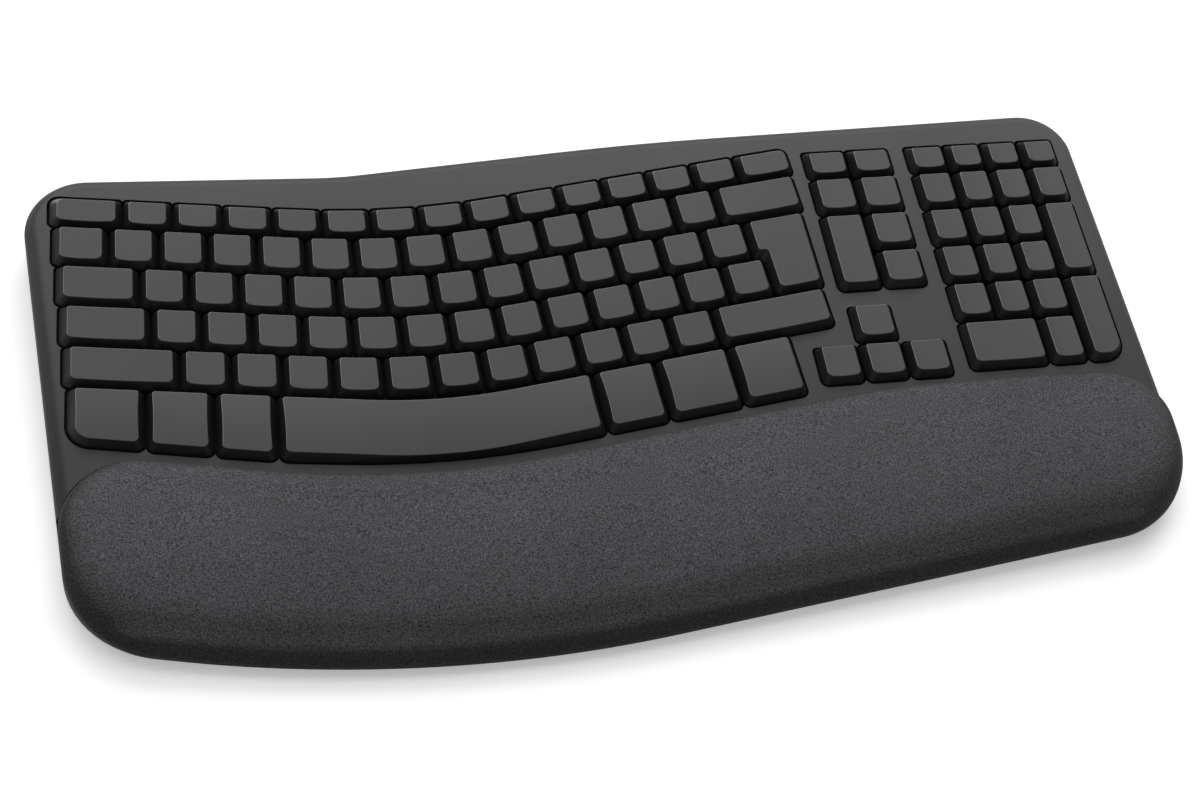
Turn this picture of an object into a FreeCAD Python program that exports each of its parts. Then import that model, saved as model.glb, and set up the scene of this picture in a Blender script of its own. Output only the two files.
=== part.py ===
import FreeCAD, Part
import math
import os
import Sketcher
from FreeCAD import Placement, Rotation, Vector

# Ergonomic keyboard: a waved key field, a navigation block, a number pad and a padded palm rest.
# Frame: millimetres, +X along the length, +Y to the rear, +Z up.
# The origin is the bottom centre of the part's box, on the desk.
# Deck coordinates (u, v, w) belong to the tilted top surface: w = 0 is that surface.

os.makedirs("parts", exist_ok=True)
doc = FreeCAD.newDocument("ergonomic_keyboard")

SIZES = {
    # Housing
    "deck_tilt": 3.0,            # degrees, rear higher than front
    "deck_height": 20.85,        # top surface above the desk at the origin
    "case_wall": 2.2,
    "edge_roll": 6.5,            # rounding of the top outer edge
    "floor_thickness": 2.2,
    "seam_gap": 0.2,             # seam between the two shells
    "floor_chamfer": 1.4,
    "tray_inset": 1.6,           # the lower shell stands back under the upper one
    "foot_height": 1.2,
    "left_margin": 9.66,         # case beside the waved block, at the rear
    "left_flare": 8.4,           # how far the left side draws in towards the front
    "right_margin": 9.35,       # case beside the number pad, at the rear
    "right_flare": 1.8,          # how far the right side spreads towards the front
    "rear_margin": 17.2,         # case behind the number pad
    "rear_drop": 3.7,            # the rear edge is this much lower at its shoulder
    "shoulder_offset": 67.5,     # shoulder, to the left of the navigation block
    "wave_rear_margin": 23.4,    # case behind the wave's lowest point
    "dip_shift": 20.0,           # the rear edge's dip lies this far left of the wave's
    "left_rear_margin": 10.8,
    "front_depth": 84.8,         # from the bottom row to the vertex of the front edge's arc
    "front_shift": 15.6,
    "left_front_rise": 26.9,     # the front corners lie this far behind that vertex
    "right_front_rise": 38.8,
    "left_front_radius": 38.0,
    "front_radius": 543.0,
    "right_front_radius": 48.0,
    "right_rear_radius": 21.0,
    "shoulder_radius": 1200.0,
    "dip_radius": 170.0,
    "left_rear_radius": 24.0,
    # Waved key field, on the deck
    "main_left": -211.5,
    "main_width": 303.6,
    "left_shift": 1.0,           # leftmost caps inside the main block's left side, at the rear row
    "left_drift": 0.3,          # and this much more in each row to the front
    "lower_row_v": 1.9,          # centre of the lower letter row at the wave's lowest point
    "row_pitch": 19.05,
    "function_depth": 15.4,
    "function_front_share": 0.75,    # of the tapers and gaps, at the function caps' fronts
    "function_rear_share": 1.6,
    "bottom_row_depth": 28.6,
    "wave_centre": -76.3,        # lowest point of the function row
    "wave_drift": 1.36,          # each row's lowest point lies this much further right
    "wave_slope": 0.135,
    "wave_half_arc": 41.5,
    "front_slope": 0.185,        # left half of the bottom row's front edge
    "front_half_arc": 74.0,
    "lean_share": 0.45,          # share of the row's slope that tilts the keys' sides
    # Widths along the rows
    "escape_width": 29.4,
    "function_pitch": 19.24,
    "number_first": 23.2,
    "number_pitch": 18.78,
    "tab_width": 33.5,
    "upper_pitch": 18.71,
    "caps_width": 36.5,
    "home_pitch": 18.88,
    "shift_width": 45.6,
    "lower_pitch": 19.03,
    "control_width": 31.5,
    "left_function_width": 25.0,
    "left_alt_width": 23.0,
    "space_width": 123.0,
    "right_alt_width": 25.4,
    "right_function_width": 30.1,
    "right_control_width": 27.0,
    # Straight blocks
    "block_lower_v": 18.6,       # centre of their lower row
    "nav_left": 97.5,
    "nav_pitch": 19.2,
    "arrow_u": 108.0,
    "arrow_v": -6.8,
    "arrow_pitch": 18.45,
    "pad_left": 142.4,
    "pad_first": 17.5,
    "pad_pitch": 16.45,
    "pad_bottom_depth": 23.4,
    # Key caps and stems
    "key_gap": 0.8,
    "cap_height": 4.0,           # top rim above the deck
    "skirt_depth": 1.5,          # skirt below the deck
    "side_taper": 2.2,
    "front_taper": 2.2,
    "rear_taper": 1.9,
    "base_radius": 2.8,
    "top_radius": 1.5,
    "cap_wall": 1.3,
    "cap_roof": 1.5,
    "dish_depth": 0.5,
    "wide_dish_depth": 0.3,
    "crown_rise": 0.35,
    "crown_radius": 110.0,
    "rim_fillet": 0.43,
    "stem_side": 5.6,
    "stem_depth": 5.5,           # stem's end below the deck
    "key_travel": 3.0,
    "guide_inset": 10.5,         # guide stems of wide keys, from the key's ends
    "sleeve_spacing": 0.5,       # least space between two sleeves of one key
    # Parts under the keys
    "window_gap": 0.7,           # between a cap's skirt and the case
    "stem_clearance": 0.2,
    "sleeve_wall": 0.8,
    "sleeve_top": 1.5,           # sleeves end this far below the deck
    "press_clearance": 0.5,      # between a pressed skirt and the guide plate
    "dome_room": 1.0,            # between a pressed stem and the dome sheet
    "frame_plate": 1.5,
    "rim_clearance": 0.3,        # between the frame's upper rim and the case's sides
    "frame_rim": 0.9,
    "field_margin": 1.8,         # stack beyond the outermost key plots
    "front_field_margin": 0.8,   # the same along the front
    "field_radius": 3.0,
    "field_left_radius": 7.0,    # rear left corner, inside the case's rounded corner
    "boss_room": 0.6,            # round the bosses that pass through the stack
    "sheet_thickness": 0.4,
    "dome_radius": 4.2,
    "dome_top_radius": 2.4,
    "dome_wall": 0.5,
    "dome_seat": 0.2,            # dome's top below the stem
    "foil_thickness": 0.3,
    "plate_thickness": 0.8,
    # Palm rest
    "palm_margin": 4.55,         # case between the straight blocks and the palm rest
    "palm_wave_margin": 9.65,    # from the bottom row to the vertex of the palm rest's rear arc
    "palm_wave_shift": 16.1,
    "palm_wave_radius": 340.0,
    "palm_left_rise": 27.2,      # the left rear corner lies this far behind that vertex
    "palm_left_spread": 3.0,
    "palm_right_inset": 1.0,
    "palm_bend_radius": 400.0,
    "palm_corner": 24.0,
    "palm_left_corner": 28.0,
    "palm_overhang": 3.8,        # fabric in front of the case's front wall
    "left_opening": 30.0,        # the shelf opens to the sides this far before the rear corners
    "right_opening": 19.2,
    "palm_gap": 0.3,
    "palm_inset": 0.4,           # fabric inside the case's outline
    "shelf_front_height": 4.6,
    "shelf_slope": 5.3,          # degrees
    "shelf_roof": 2.0,
    "step_wall": 1.6,
    "crest_rise": 3.2,           # crest above the deck beside it
    "crest_back": 15.0,
    "nose_depth": 11.0,
    "nose_height": 5.6,
    "rear_edge_drop": 0.6,       # palm rest's rear edge below the deck beside it
    "slope_crown": 2.4,
    "end_roll": 20.0,            # length over which both ends thin out
    "cover_thickness": 0.8,
    # Screws and feet
    "boss_radius": 3.1,
    "screw_radius": 1.1,
    "screw_fit": 0.05,
    "screw_length": 5.5,         # in the boss, above the tray
    "screw_head_radius": 2.1,
    "screw_head": 1.2,
    "head_fit": 0.15,
    "foot_radius": 6.0,
    "foot_recess": 0.8,
    # Cells, door and contacts
    "cell_diameter": 10.5,
    "cell_length": 43.3,
    "cell_nub": 1.2,
    "cell_nub_radius": 1.9,
    "bay_x": 68.0,
    "bay_y": 95.5,
    "bay_clearance": 0.4,
    "cell_lift": 0.3,            # cells above the door
    "bay_wall": 1.4,
    "spring_room": 3.2,
    "contact_thickness": 0.4,
    "contact_margin": 1.0,       # leaf inside the bay's width, on each side
    "contact_lift": 0.2,
    "contact_rise": 2.0,         # leaf above the cell's axis
    "spring_flare": 1.4,         # spring's root beyond the nub's radius
    "spring_tip": 0.4,
    "door_gap": 0.35,
    "door_lip": 2.6,
    "door_pin_radius": 0.5,
    "door_pin_length": 1.4,      # pin inside the tray
    "door_pin_fit": 0.12,
    "notch_width": 12.0,
    "notch_depth": 0.8,
    # Board, switch and slider
    "board_x": -20.0,
    "board_y": 91.0,
    "board_length": 64.0,
    "board_width": 20.0,
    "board_thickness": 1.2,
    "board_height": 8.2,
    "board_post_radius": 2.4,
    "board_post_inset": 4.0,
    "chip_side": 7.0,
    "chip_height": 1.0,
    "connector_length": 18.0,
    "connector_width": 4.0,
    "connector_height": 2.2,
    "switch_x": -34.0,
    "switch_length": 8.0,
    "switch_width": 4.0,
    "switch_height": 2.4,
    "post_side": 1.4,            # slider's post inside the switch
    "post_reach": 1.2,
    "slider_length": 12.0,
    "slider_width": 8.0,
    "slider_plate": 2.0,
    "slider_travel": 3.0,
    "knob_length": 5.0,
    "knob_width": 3.0,
    "knob_recess": 0.4,
    "slide_lift": 0.05,          # running gap under the slider
    "slider_fit": 0.3,
    # Tilt legs
    "leg_x": 172.0,
    "leg_hinge_y": 92.0,
    "leg_width": 30.0,
    "leg_length": 24.0,
    "leg_thickness": 3.0,
    "leg_hinge_height": 3.8,
    "leg_barrel_radius": 2.2,
    "leg_pin_radius": 1.2,
    "leg_pin_length": 2.4,
    "leg_pin_fit": 0.08,
    "leg_clearance": 0.5,
    "leg_swing_room": 1.0,       # behind the barrel, for the leg's heel
    "left_leg_setback": 9.0,     # the left leg stands this far before the right one
    "pin_cover": 0.4,            # wall past the pin's bore
    "leg_pad_inset": 2.0,
    "leg_pad_depth": 2.0,
    "pocket_wall": 1.6,
    "support_radius": 2.5,
}

sheet = doc.addObject("Spreadsheet::Sheet", "sizes")
for line, (alias, value) in enumerate(SIZES.items(), start=1):
    sheet.set(f"A{line}", alias)
    sheet.set(f"B{line}", str(value))
    sheet.setAlias(f"B{line}", alias)
doc.recompute()


def size(alias):
    """Value of one driving size, read from the sheet."""
    return float(sheet.get(alias))


nodes = {}


def keep(part, name):
    """Label an object as the sub-part called name."""
    part.Label = name
    nodes[name] = part
    return part


def feature(name, shape, placement=Placement()):
    """Sub-part whose shape is worked out by the functions below."""
    part = doc.addObject("Part::Feature", name)
    part.Shape = shape
    part.Placement = placement
    return keep(part, name)


# Plain geometry


def arc(start, middle, end):
    """Edge of a round stretch through three points."""
    return Part.Arc(start, middle, end).toShape()


def rounded_wire(corners, inset=0.0, height=0.0):
    """Closed outline through (x, y, radius) corners, anticlockwise, drawn in by inset."""
    count = len(corners)
    sides = []
    for index in range(count):
        first = corners[index]
        second = corners[(index + 1) % count]
        along = Vector(second[0] - first[0], second[1] - first[1], 0).normalize()
        inward = Vector(-along.y, along.x, 0)
        start = Vector(first[0], first[1], height) + inward * inset
        sides.append((start, along, inward))
    starts = []
    for index in range(count):
        start, along, inward = sides[index]
        before, along_before, inward_before = sides[index - 1]
        turn = along_before.x * along.y - along_before.y * along.x
        gap = start - before
        reach = (gap.x * along.y - gap.y * along.x) / turn
        vertex = before + along_before * reach
        side = 1.0 if turn > 0 else -1.0
        radius = corners[index][2] - side * inset
        half = abs(math.asin(max(-1.0, min(1.0, turn)))) / 2
        if along.dot(along_before) < 0:
            half = math.pi / 2 - half
        trim = radius * math.tan(half)
        arc_start = vertex - along_before * trim
        arc_end = vertex + along * trim
        centre = arc_start + inward_before * (side * radius)
        middle = centre + (vertex - centre).normalize() * radius
        starts.append((arc_start, middle, arc_end))
    edges = []
    for index in range(count):
        arc_start, middle, arc_end = starts[index]
        following = starts[(index + 1) % count][0]
        edges.append(arc(arc_start, middle, arc_end))
        edges.append(Part.makeLine(arc_end, following))
    return Part.Wire(edges)


def flat(wires):
    """Flat face inside the first wire, less the holes of the others."""
    return Part.makeFace(wires, "Part::FaceMakerBullseye")


def prism(wires, low, high):
    """Upright solid between two heights, from outlines drawn at height 0."""
    face = flat(wires)
    face.translate(Vector(0, 0, low))
    return face.extrude(Vector(0, 0, high - low))


def box(x0, x1, y0, y1, z0, z1):
    """Box between two corners."""
    return Part.makeBox(x1 - x0, y1 - y0, z1 - z0, Vector(x0, y0, z0))


def cylinder(x, y, low, high, radius):
    """Upright cylinder."""
    return Part.makeCylinder(radius, high - low, Vector(x, y, low))


FAR = 600.0
deck = Placement(Vector(0, 0, size("deck_height")), Rotation(Vector(1, 0, 0), size("deck_tilt")))


def above_plane(placement, level):
    """Half space above a level of a tilted plane, as one large block."""
    block = box(-FAR, FAR, -FAR, FAR, level, FAR)
    block.Placement = placement
    return block


def deck_height_at(y):
    """Height of the deck surface above the desk."""
    return size("deck_height") + y * math.tan(math.radians(size("deck_tilt")))


# Waved rows and the keys' plots


def wave(distance, slope, half_arc):
    """Rise of a row at a distance from its lowest point: an arc, then straight wings."""
    reach = abs(distance)
    if reach < half_arc:
        return slope * reach * reach / (2 * half_arc)
    return slope * (reach - half_arc / 2)


class Row:
    """One waved row: its number from the rear and its extent at the lowest point."""

    def __init__(self, number, front, rear, steep_front=False):
        self.front = front
        self.rear = rear
        self.middle = (front + rear) / 2
        self.centre = size("wave_centre") + number * size("wave_drift")
        self.left = size("main_left") + size("left_shift") + number * size("left_drift")
        self.front_share = 1.0
        self.rear_share = 1.0
        self.steep_front = steep_front

    def slope(self, a):
        """Slope of the row where it crosses a."""
        distance = a - self.centre
        share = min(1.0, abs(distance) / size("wave_half_arc"))
        return math.copysign(size("wave_slope") * share, distance)

    def bend(self, a, b):
        """Point of the deck for a point of the straight row."""
        distance = a - self.centre
        rise = wave(distance, size("wave_slope"), size("wave_half_arc"))
        if self.steep_front and distance < 0:
            front_rise = wave(distance, size("front_slope"), size("front_half_arc"))
            share = (self.rear - b) / (self.rear - self.front)
            rise = rise + (front_rise - rise) * share
        lean = -size("lean_share") * self.slope(a)
        return a + lean * (b - self.middle), b + rise


class StraightRow(Row):
    """Row of a straight block."""

    def __init__(self, front, rear):
        super().__init__(0, front, rear)

    def slope(self, a):
        """A straight row has no slope."""
        return 0.0

    def bend(self, a, b):
        """A straight row isn't bent."""
        return a, b


class Cell:
    """One key's plot: corners as (a, b, side sign, depth sign, row, radius factor)."""

    def __init__(self, corners, stems, style="dish"):
        self.corners = corners
        self.stems = stems
        self.style = style

    def points(self, side, front, rear, radius):
        """Deck corners of the plot, drawn in by side, front and rear."""
        result = []
        for a, b, sign_a, sign_b, row, factor in self.corners:
            depth = front * row.front_share if sign_b > 0 else rear * row.rear_share
            u, v = row.bend(a + sign_a * side, b + sign_b * depth)
            result.append((u, v, max(radius * factor, 0.3)))
        return result

    def wire(self, inset, height, radius, tapered=0.0):
        """Outline at a height; tapered is the share of the side tapers that is drawn in."""
        corners = self.points(inset + tapered * size("side_taper"),
                              inset + tapered * size("front_taper"),
                              inset + tapered * size("rear_taper"), radius)
        return rounded_wire(corners, 0.0, height)


FRONT_CORNER = 1.15              # radius shares of a cap's corners
REAR_CORNER = 0.7
SQUARE = (FRONT_CORNER, FRONT_CORNER, REAR_CORNER, REAR_CORNER)
OUTER_LEAN = 1.45                # the leftmost caps' left sides lean this much more
WIDE_KEY = 30.0                  # a key longer than this has three stems
ROOT = 0.2                       # how far fused pieces run into each other


def plot(row, a0, a1, b0=None, b1=None, style="dish", factors=SQUARE, left_lean=1):
    """Four-cornered plot with its stems: one, or three along a wide or tall key."""
    b0 = row.front if b0 is None else b0
    b1 = row.rear if b1 is None else b1
    corners = [(a0, b0, left_lean, 1, row, factors[0]), (a1, b0, -1, 1, row, factors[1]),
               (a1, b1, -1, -1, row, factors[2]), (a0, b1, left_lean, -1, row, factors[3])]
    middle_a = (a0 + a1) / 2
    top_front = b0 + size("front_taper") * row.front_share
    top_rear = b1 - size("rear_taper") * row.rear_share
    middle_b = (top_front + top_rear) / 2
    stems = [row.bend(middle_a, middle_b)]
    least = size("stem_side") + 2 * (size("stem_clearance") + size("sleeve_wall")) + size("sleeve_spacing")
    reach_a = max((a1 - a0) / 2 - size("guide_inset"), least)
    reach_b = max((b1 - b0) / 2 - size("guide_inset"), least)
    for sign in (-1, 1):
        if a1 - a0 > WIDE_KEY:
            stems.append(row.bend(middle_a + sign * reach_a, middle_b))
        elif b1 - b0 > WIDE_KEY:
            stems.append(row.bend(middle_a, middle_b + sign * reach_b))
    return Cell(corners, stems, style)


def run(row, start, pitch, count):
    """Equal plots side by side."""
    return [plot(row, start + index * pitch, start + (index + 1) * pitch) for index in range(count)]


def shorten_caps(row):
    """Set a function row's caps back from the window behind them."""
    row.front_share = size("function_front_share")
    row.rear_share = size("function_rear_share")
    return row


half_pitch = size("row_pitch") / 2
lower_v = size("lower_row_v")
number_rear = lower_v + 3 * size("row_pitch") + half_pitch
function_row = shorten_caps(Row(0, number_rear, number_rear + size("function_depth")))
number_row = Row(1, number_rear - size("row_pitch"), number_rear)
upper_row = Row(2, number_row.front - size("row_pitch"), number_row.front)
home_row = Row(3, upper_row.front - size("row_pitch"), upper_row.front)
lower_row = Row(4, home_row.front - size("row_pitch"), home_row.front)
bottom_row = Row(5, lower_row.front - size("bottom_row_depth"), lower_row.front, steep_front=True)

main_left = size("main_left")
main_right = main_left + size("main_width")
ROUND_CORNER = 1.4
LARGE_CORNER = 3.3
STEP_CORNER = 0.8

groups = {}

function_start = main_left + size("escape_width")
function_keys = run(function_row, function_start, size("function_pitch"), 13)


def leftmost(row, end, style="wide", factors=SQUARE):
    """Plot of a row's leftmost cap."""
    return plot(row, row.left, end, style=style, factors=factors, left_lean=OUTER_LEAN)


groups["escape_key"] = [leftmost(function_row, function_start, "dish",
                                 (FRONT_CORNER, FRONT_CORNER, REAR_CORNER, ROUND_CORNER))]
groups["function_keys_left"] = function_keys[:7]
last_start = function_start + 13 * size("function_pitch")
last_function = plot(function_row, last_start, main_right,
                     factors=(FRONT_CORNER, FRONT_CORNER, ROUND_CORNER, REAR_CORNER))
groups["function_keys_right"] = function_keys[7:] + [last_function]

number_start = main_left + size("number_first")
number_keys = [leftmost(number_row, number_start, "dish")]
number_keys += run(number_row, number_start, size("number_pitch"), 13)
number_end = number_start + 13 * size("number_pitch")
groups["number_keys_left"] = number_keys[:7]
groups["number_keys_right"] = number_keys[7:]
groups["backspace_key"] = [plot(number_row, number_end, main_right, style="wide")]

upper_start = main_left + size("tab_width")
upper_keys = run(upper_row, upper_start, size("upper_pitch"), 13)
upper_end = upper_start + 13 * size("upper_pitch")
groups["tab_key"] = [leftmost(upper_row, upper_start)]
groups["upper_letters_left"] = upper_keys[:6]
groups["upper_letters_right"] = upper_keys[6:]

home_start = main_left + size("caps_width")
home_keys = run(home_row, home_start, size("home_pitch"), 13)
home_end = home_start + 13 * size("home_pitch")
groups["caps_lock_key"] = [leftmost(home_row, home_start)]
groups["home_letters_left"] = home_keys[:6]
groups["home_letters_right"] = home_keys[6:]

lower_start = main_left + size("shift_width")
lower_keys = run(lower_row, lower_start, size("lower_pitch"), 11)
lower_end = lower_start + 11 * size("lower_pitch")
groups["left_shift_key"] = [leftmost(lower_row, lower_start)]
groups["lower_letters_left"] = lower_keys[:6]
groups["lower_letters_right"] = lower_keys[6:]
groups["right_shift_key"] = [plot(lower_row, lower_end, main_right, style="wide")]


def enter_cell():
    """Plot of the stepped enter key: the upper row's part is wider on the left."""
    step = upper_row.front
    corners = [(home_end, home_row.front, 1, 1, home_row, FRONT_CORNER),
               (main_right, home_row.front, -1, 1, home_row, FRONT_CORNER),
               (main_right, upper_row.rear, -1, -1, upper_row, REAR_CORNER),
               (upper_end, upper_row.rear, 1, -1, upper_row, REAR_CORNER),
               (upper_end, step, 1, 1, upper_row, STEP_CORNER),
               (home_end, step, 1, 1, home_row, STEP_CORNER)]
    middle_a = (home_end + main_right) / 2
    stems = [home_row.bend(middle_a, step)]
    stems.append(home_row.bend(middle_a, home_row.front + size("guide_inset")))
    stems.append(upper_row.bend(middle_a, upper_row.rear - size("guide_inset")))
    return Cell(corners, stems, "wide")


groups["enter_key"] = [enter_cell()]

edge = main_left + size("control_width")
groups["left_control_key"] = [leftmost(bottom_row, edge, "crown",
                                       (LARGE_CORNER, FRONT_CORNER, REAR_CORNER, REAR_CORNER))]
bottom_names = ["left_function_key", "left_alt_key", "space_bar",
                "right_alt_key", "right_function_key", "right_control_key"]
bottom_widths = ["left_function_width", "left_alt_width", "space_width",
                 "right_alt_width", "right_function_width", "right_control_width"]
for name, width in zip(bottom_names, bottom_widths):
    groups[name] = [plot(bottom_row, edge, edge + size(width), style="crown")]
    edge += size(width)
bottom_right = edge


def curve_space_bar(cell):
    """Give the space bar's front and rear edges the wave's arc, by a corner with a large radius."""
    row = bottom_row
    vertex_drop = size("wave_slope") * size("wave_half_arc") / 2
    arc_factor = size("wave_half_arc") / size("wave_slope") / size("base_radius")
    front = (row.centre, row.front - vertex_drop, 0, 1, StraightRow(row.front, row.rear), arc_factor)
    rear = (row.centre, row.rear - vertex_drop, 0, -1, StraightRow(row.front, row.rear), arc_factor)
    cell.corners.insert(3, rear)
    cell.corners.insert(1, front)


curve_space_bar(groups["space_bar"][0])

# Straight blocks

block_v = size("block_lower_v")
pad_front = block_v - half_pitch - size("pad_bottom_depth")
block_rows = [StraightRow(pad_front, block_v - half_pitch)]
for index in range(4):
    front = block_v - half_pitch + index * size("row_pitch")
    block_rows.append(StraightRow(front, front + size("row_pitch")))
function_front = block_rows[-1].rear
block_rows.append(shorten_caps(StraightRow(function_front, function_front + size("function_depth"))))
BOTTOM, LOWER, HOME, UPPER, NUMBER, FUNCTION = block_rows

nav_left = size("nav_left")
nav_middle = nav_left + size("nav_pitch")
nav_right = nav_middle + size("nav_pitch")
groups["nav_function_keys"] = run(FUNCTION, nav_left, size("nav_pitch"), 2)
groups["nav_page_keys"] = run(NUMBER, nav_left, size("nav_pitch"), 2)
groups["nav_page_keys"] += [plot(row, nav_middle, nav_right) for row in (UPPER, HOME)]
groups["nav_tall_key"] = [plot(HOME, nav_left, nav_middle, HOME.front, UPPER.rear, "wide")]

arrow_half = size("arrow_pitch") / 2
arrow_places = {"arrow_left_key": (-1, 0), "arrow_down_key": (0, 0),
                "arrow_right_key": (1, 0), "arrow_up_key": (0, 1)}
for name, (across, up) in arrow_places.items():
    centre_u = size("arrow_u") + across * size("arrow_pitch")
    centre_v = size("arrow_v") + up * size("arrow_pitch")
    arrow_row = StraightRow(centre_v - arrow_half, centre_v + arrow_half)
    groups[name] = [plot(arrow_row, centre_u - arrow_half, centre_u + arrow_half)]

pad_edges = [size("pad_left"), size("pad_left") + size("pad_first")]
for index in range(3):
    pad_edges.append(pad_edges[-1] + size("pad_pitch"))


def pad_cells(row, columns):
    """Plots of the number pad's columns in one row."""
    return [plot(row, pad_edges[column], pad_edges[column + 1]) for column in columns]


groups["pad_function_keys"] = pad_cells(FUNCTION, range(4))
groups["pad_top_keys"] = pad_cells(NUMBER, range(4))
groups["pad_upper_digits"] = pad_cells(UPPER, range(3))
groups["pad_middle_digits"] = pad_cells(HOME, range(3))
groups["pad_lower_digits"] = pad_cells(LOWER, range(3))
groups["pad_plus_key"] = [plot(HOME, pad_edges[3], pad_edges[4], HOME.front, UPPER.rear, "wide")]
groups["pad_enter_key"] = [plot(LOWER, pad_edges[3], pad_edges[4], BOTTOM.front, LOWER.rear, "wide",
                                (FRONT_CORNER, LARGE_CORNER, REAR_CORNER, REAR_CORNER))]
groups["pad_zero_key"] = [plot(BOTTOM, pad_edges[0], pad_edges[2], style="wide")]
groups["pad_dot_key"] = [plot(BOTTOM, pad_edges[2], pad_edges[3])]

cells = [cell for group in groups.values() for cell in group]
MAIN_BLOCK = ""
BLOCKS = (MAIN_BLOCK, "nav_", "arrow_", "pad_")

# Key caps


def cap_top(cell, body):
    """Cut the cap's top to its dish or crown and round its rim."""
    rim = cell.points(size("key_gap") / 2 + size("side_taper"), size("front_taper"),
                      size("rear_taper"), size("top_radius"))
    left = min(point[0] for point in rim)
    right = max(point[0] for point in rim)
    front = min(point[1] for point in rim)
    rear = max(point[1] for point in rim)
    middle = Vector((left + right) / 2, (front + rear) / 2, 0)
    row = cell.corners[0][4]
    slope = row.slope(middle.x)
    half_width = (right - left) / 2
    length = 2 * (half_width + rear - front)
    if cell.style == "crown":
        radius = size("crown_radius")
        along = Vector(1, slope, 0).normalize()
        middle.z = size("cap_height") + size("crown_rise") - radius
        tool = Part.makeCylinder(radius, length, middle - along * (length / 2), along)
        shaped = body.common(tool)
    else:
        depth = size("dish_depth") if cell.style == "dish" else size("wide_dish_depth")
        radius = (half_width ** 2 + depth ** 2) / (2 * depth)
        along = Vector(-size("lean_share") * slope, 1, 0).normalize()
        middle.z = size("cap_height") - depth + radius
        tool = Part.makeCylinder(radius, length, middle - along * (length / 2), along)
        shaped = body.cut(tool)
    tops = [face for face in shaped.Faces
            if isinstance(face.Surface, Part.Cylinder) and abs(face.Surface.Radius - radius) < 1e-6]
    rim_edges = [rim_edge for face in tops for rim_edge in face.Edges]
    return shaped.makeFillet(size("rim_fillet"), rim_edges)


def key_cap(cell):
    """One cap, hollow below, with its stems."""
    gap = size("key_gap") / 2
    wall = size("cap_wall")
    reach = size("cap_height") + 1.5 * size("dish_depth") + size("crown_rise")
    share = reach / size("cap_height")
    outer = Part.makeLoft([cell.wire(gap, -size("skirt_depth"), size("base_radius")),
                           cell.wire(gap, 0.0, size("base_radius")),
                           cell.wire(gap, reach, size("top_radius"), share)], True, True)
    outer = cap_top(cell, outer)
    roof = size("cap_height") - size("cap_roof")
    inner_radius = size("base_radius") - wall
    inner = Part.makeLoft([cell.wire(gap + wall, -2 * size("skirt_depth"), inner_radius),
                           cell.wire(gap + wall, 0.0, inner_radius),
                           cell.wire(gap + wall, roof, inner_radius, roof / size("cap_height"))],
                          True, True)
    half = size("stem_side") / 2
    stems = [box(u - half, u + half, v - half, v + half, -size("stem_depth"), roof + ROOT)
             for u, v in cell.stems]
    return outer.cut(inner).fuse(stems).removeSplitter()


for name, group in groups.items():
    caps = [key_cap(cell).Solids[0] for cell in group]
    feature(name, caps[0] if len(caps) == 1 else Part.makeCompound(caps), deck)

# Levels under the keys, below the deck

frame_top = size("skirt_depth") + size("key_travel") + size("press_clearance")
frame_depth = size("stem_depth") + size("key_travel") + size("dome_room")
foil_top = -frame_depth - size("sheet_thickness")
plate_top = foil_top - size("foil_thickness")
stack_low = plate_top - size("plate_thickness")

# Outlines of the housing, in plan

ARC_SHARE = 0.95                 # keeps a short straight run between two arcs


def outermost(name):
    """Least u of a leftmost cap's plot."""
    return min(point[0] for point in groups[name][0].points(0, 0, 0, 1))


def field_corners():
    """Corners round all the key plots, for the layers under the keys."""
    margin = size("field_margin")
    front_margin = size("front_field_margin")
    steep_left = bottom_row.bend(main_left, bottom_row.front)[1]
    vertex_drop = size("wave_slope") * size("wave_half_arc") / 2
    wave_radius = size("wave_half_arc") / size("wave_slope")
    front_radius = size("front_half_arc") / size("front_slope")
    rear_left = function_row.bend(main_left, function_row.rear)[1]
    rear_right = function_row.bend(main_right, function_row.rear)[1]
    front_right = bottom_row.bend(bottom_right, bottom_row.front)[1]
    arrow_front = size("arrow_v") - arrow_half
    arrow_left = size("arrow_u") - 3 * arrow_half
    right = pad_edges[4] + margin
    round_off = size("field_radius")
    return [(outermost("left_control_key") - margin, steep_left - front_margin, round_off),
            (bottom_row.centre - size("front_half_arc") / 2, bottom_row.front - front_margin,
             ARC_SHARE * front_radius),
            (bottom_row.centre + size("wave_half_arc") / 2, bottom_row.front - front_margin,
             ARC_SHARE * wave_radius),
            (bottom_right, front_right - front_margin, round_off),
            (arrow_left, arrow_front - front_margin, round_off),
            (right, arrow_front - front_margin, round_off),
            (right, FUNCTION.rear + margin, round_off),
            (main_right, rear_right + margin, round_off),
            (function_row.centre, function_row.rear - vertex_drop + margin, wave_radius),
            (outermost("escape_key") - margin, rear_left + margin, size("field_left_radius"))]


def case_corners():
    """Plan corners of the case, anticlockwise from the front left."""
    left = main_left - size("left_margin")
    right = pad_edges[4] + size("right_margin")
    rear = FUNCTION.rear + size("rear_margin")
    front = bottom_row.front - size("front_depth")
    wave_rear = function_row.rear - size("wave_slope") * size("wave_half_arc") / 2
    left_rear = function_row.bend(main_left, function_row.rear)[1]
    return [(left + size("left_flare"), front + size("left_front_rise"), size("left_front_radius")),
            (bottom_row.centre - size("front_shift"), front, size("front_radius")),
            (right + size("right_flare"), front + size("right_front_rise"), size("right_front_radius")),
            (right, rear, size("right_rear_radius")),
            (nav_left - size("shoulder_offset"), rear - size("rear_drop"), size("shoulder_radius")),
            (function_row.centre - size("dip_shift"), wave_rear + size("wave_rear_margin"),
             size("dip_radius")),
            (left, left_rear + size("left_rear_margin"), size("left_rear_radius"))]


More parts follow.
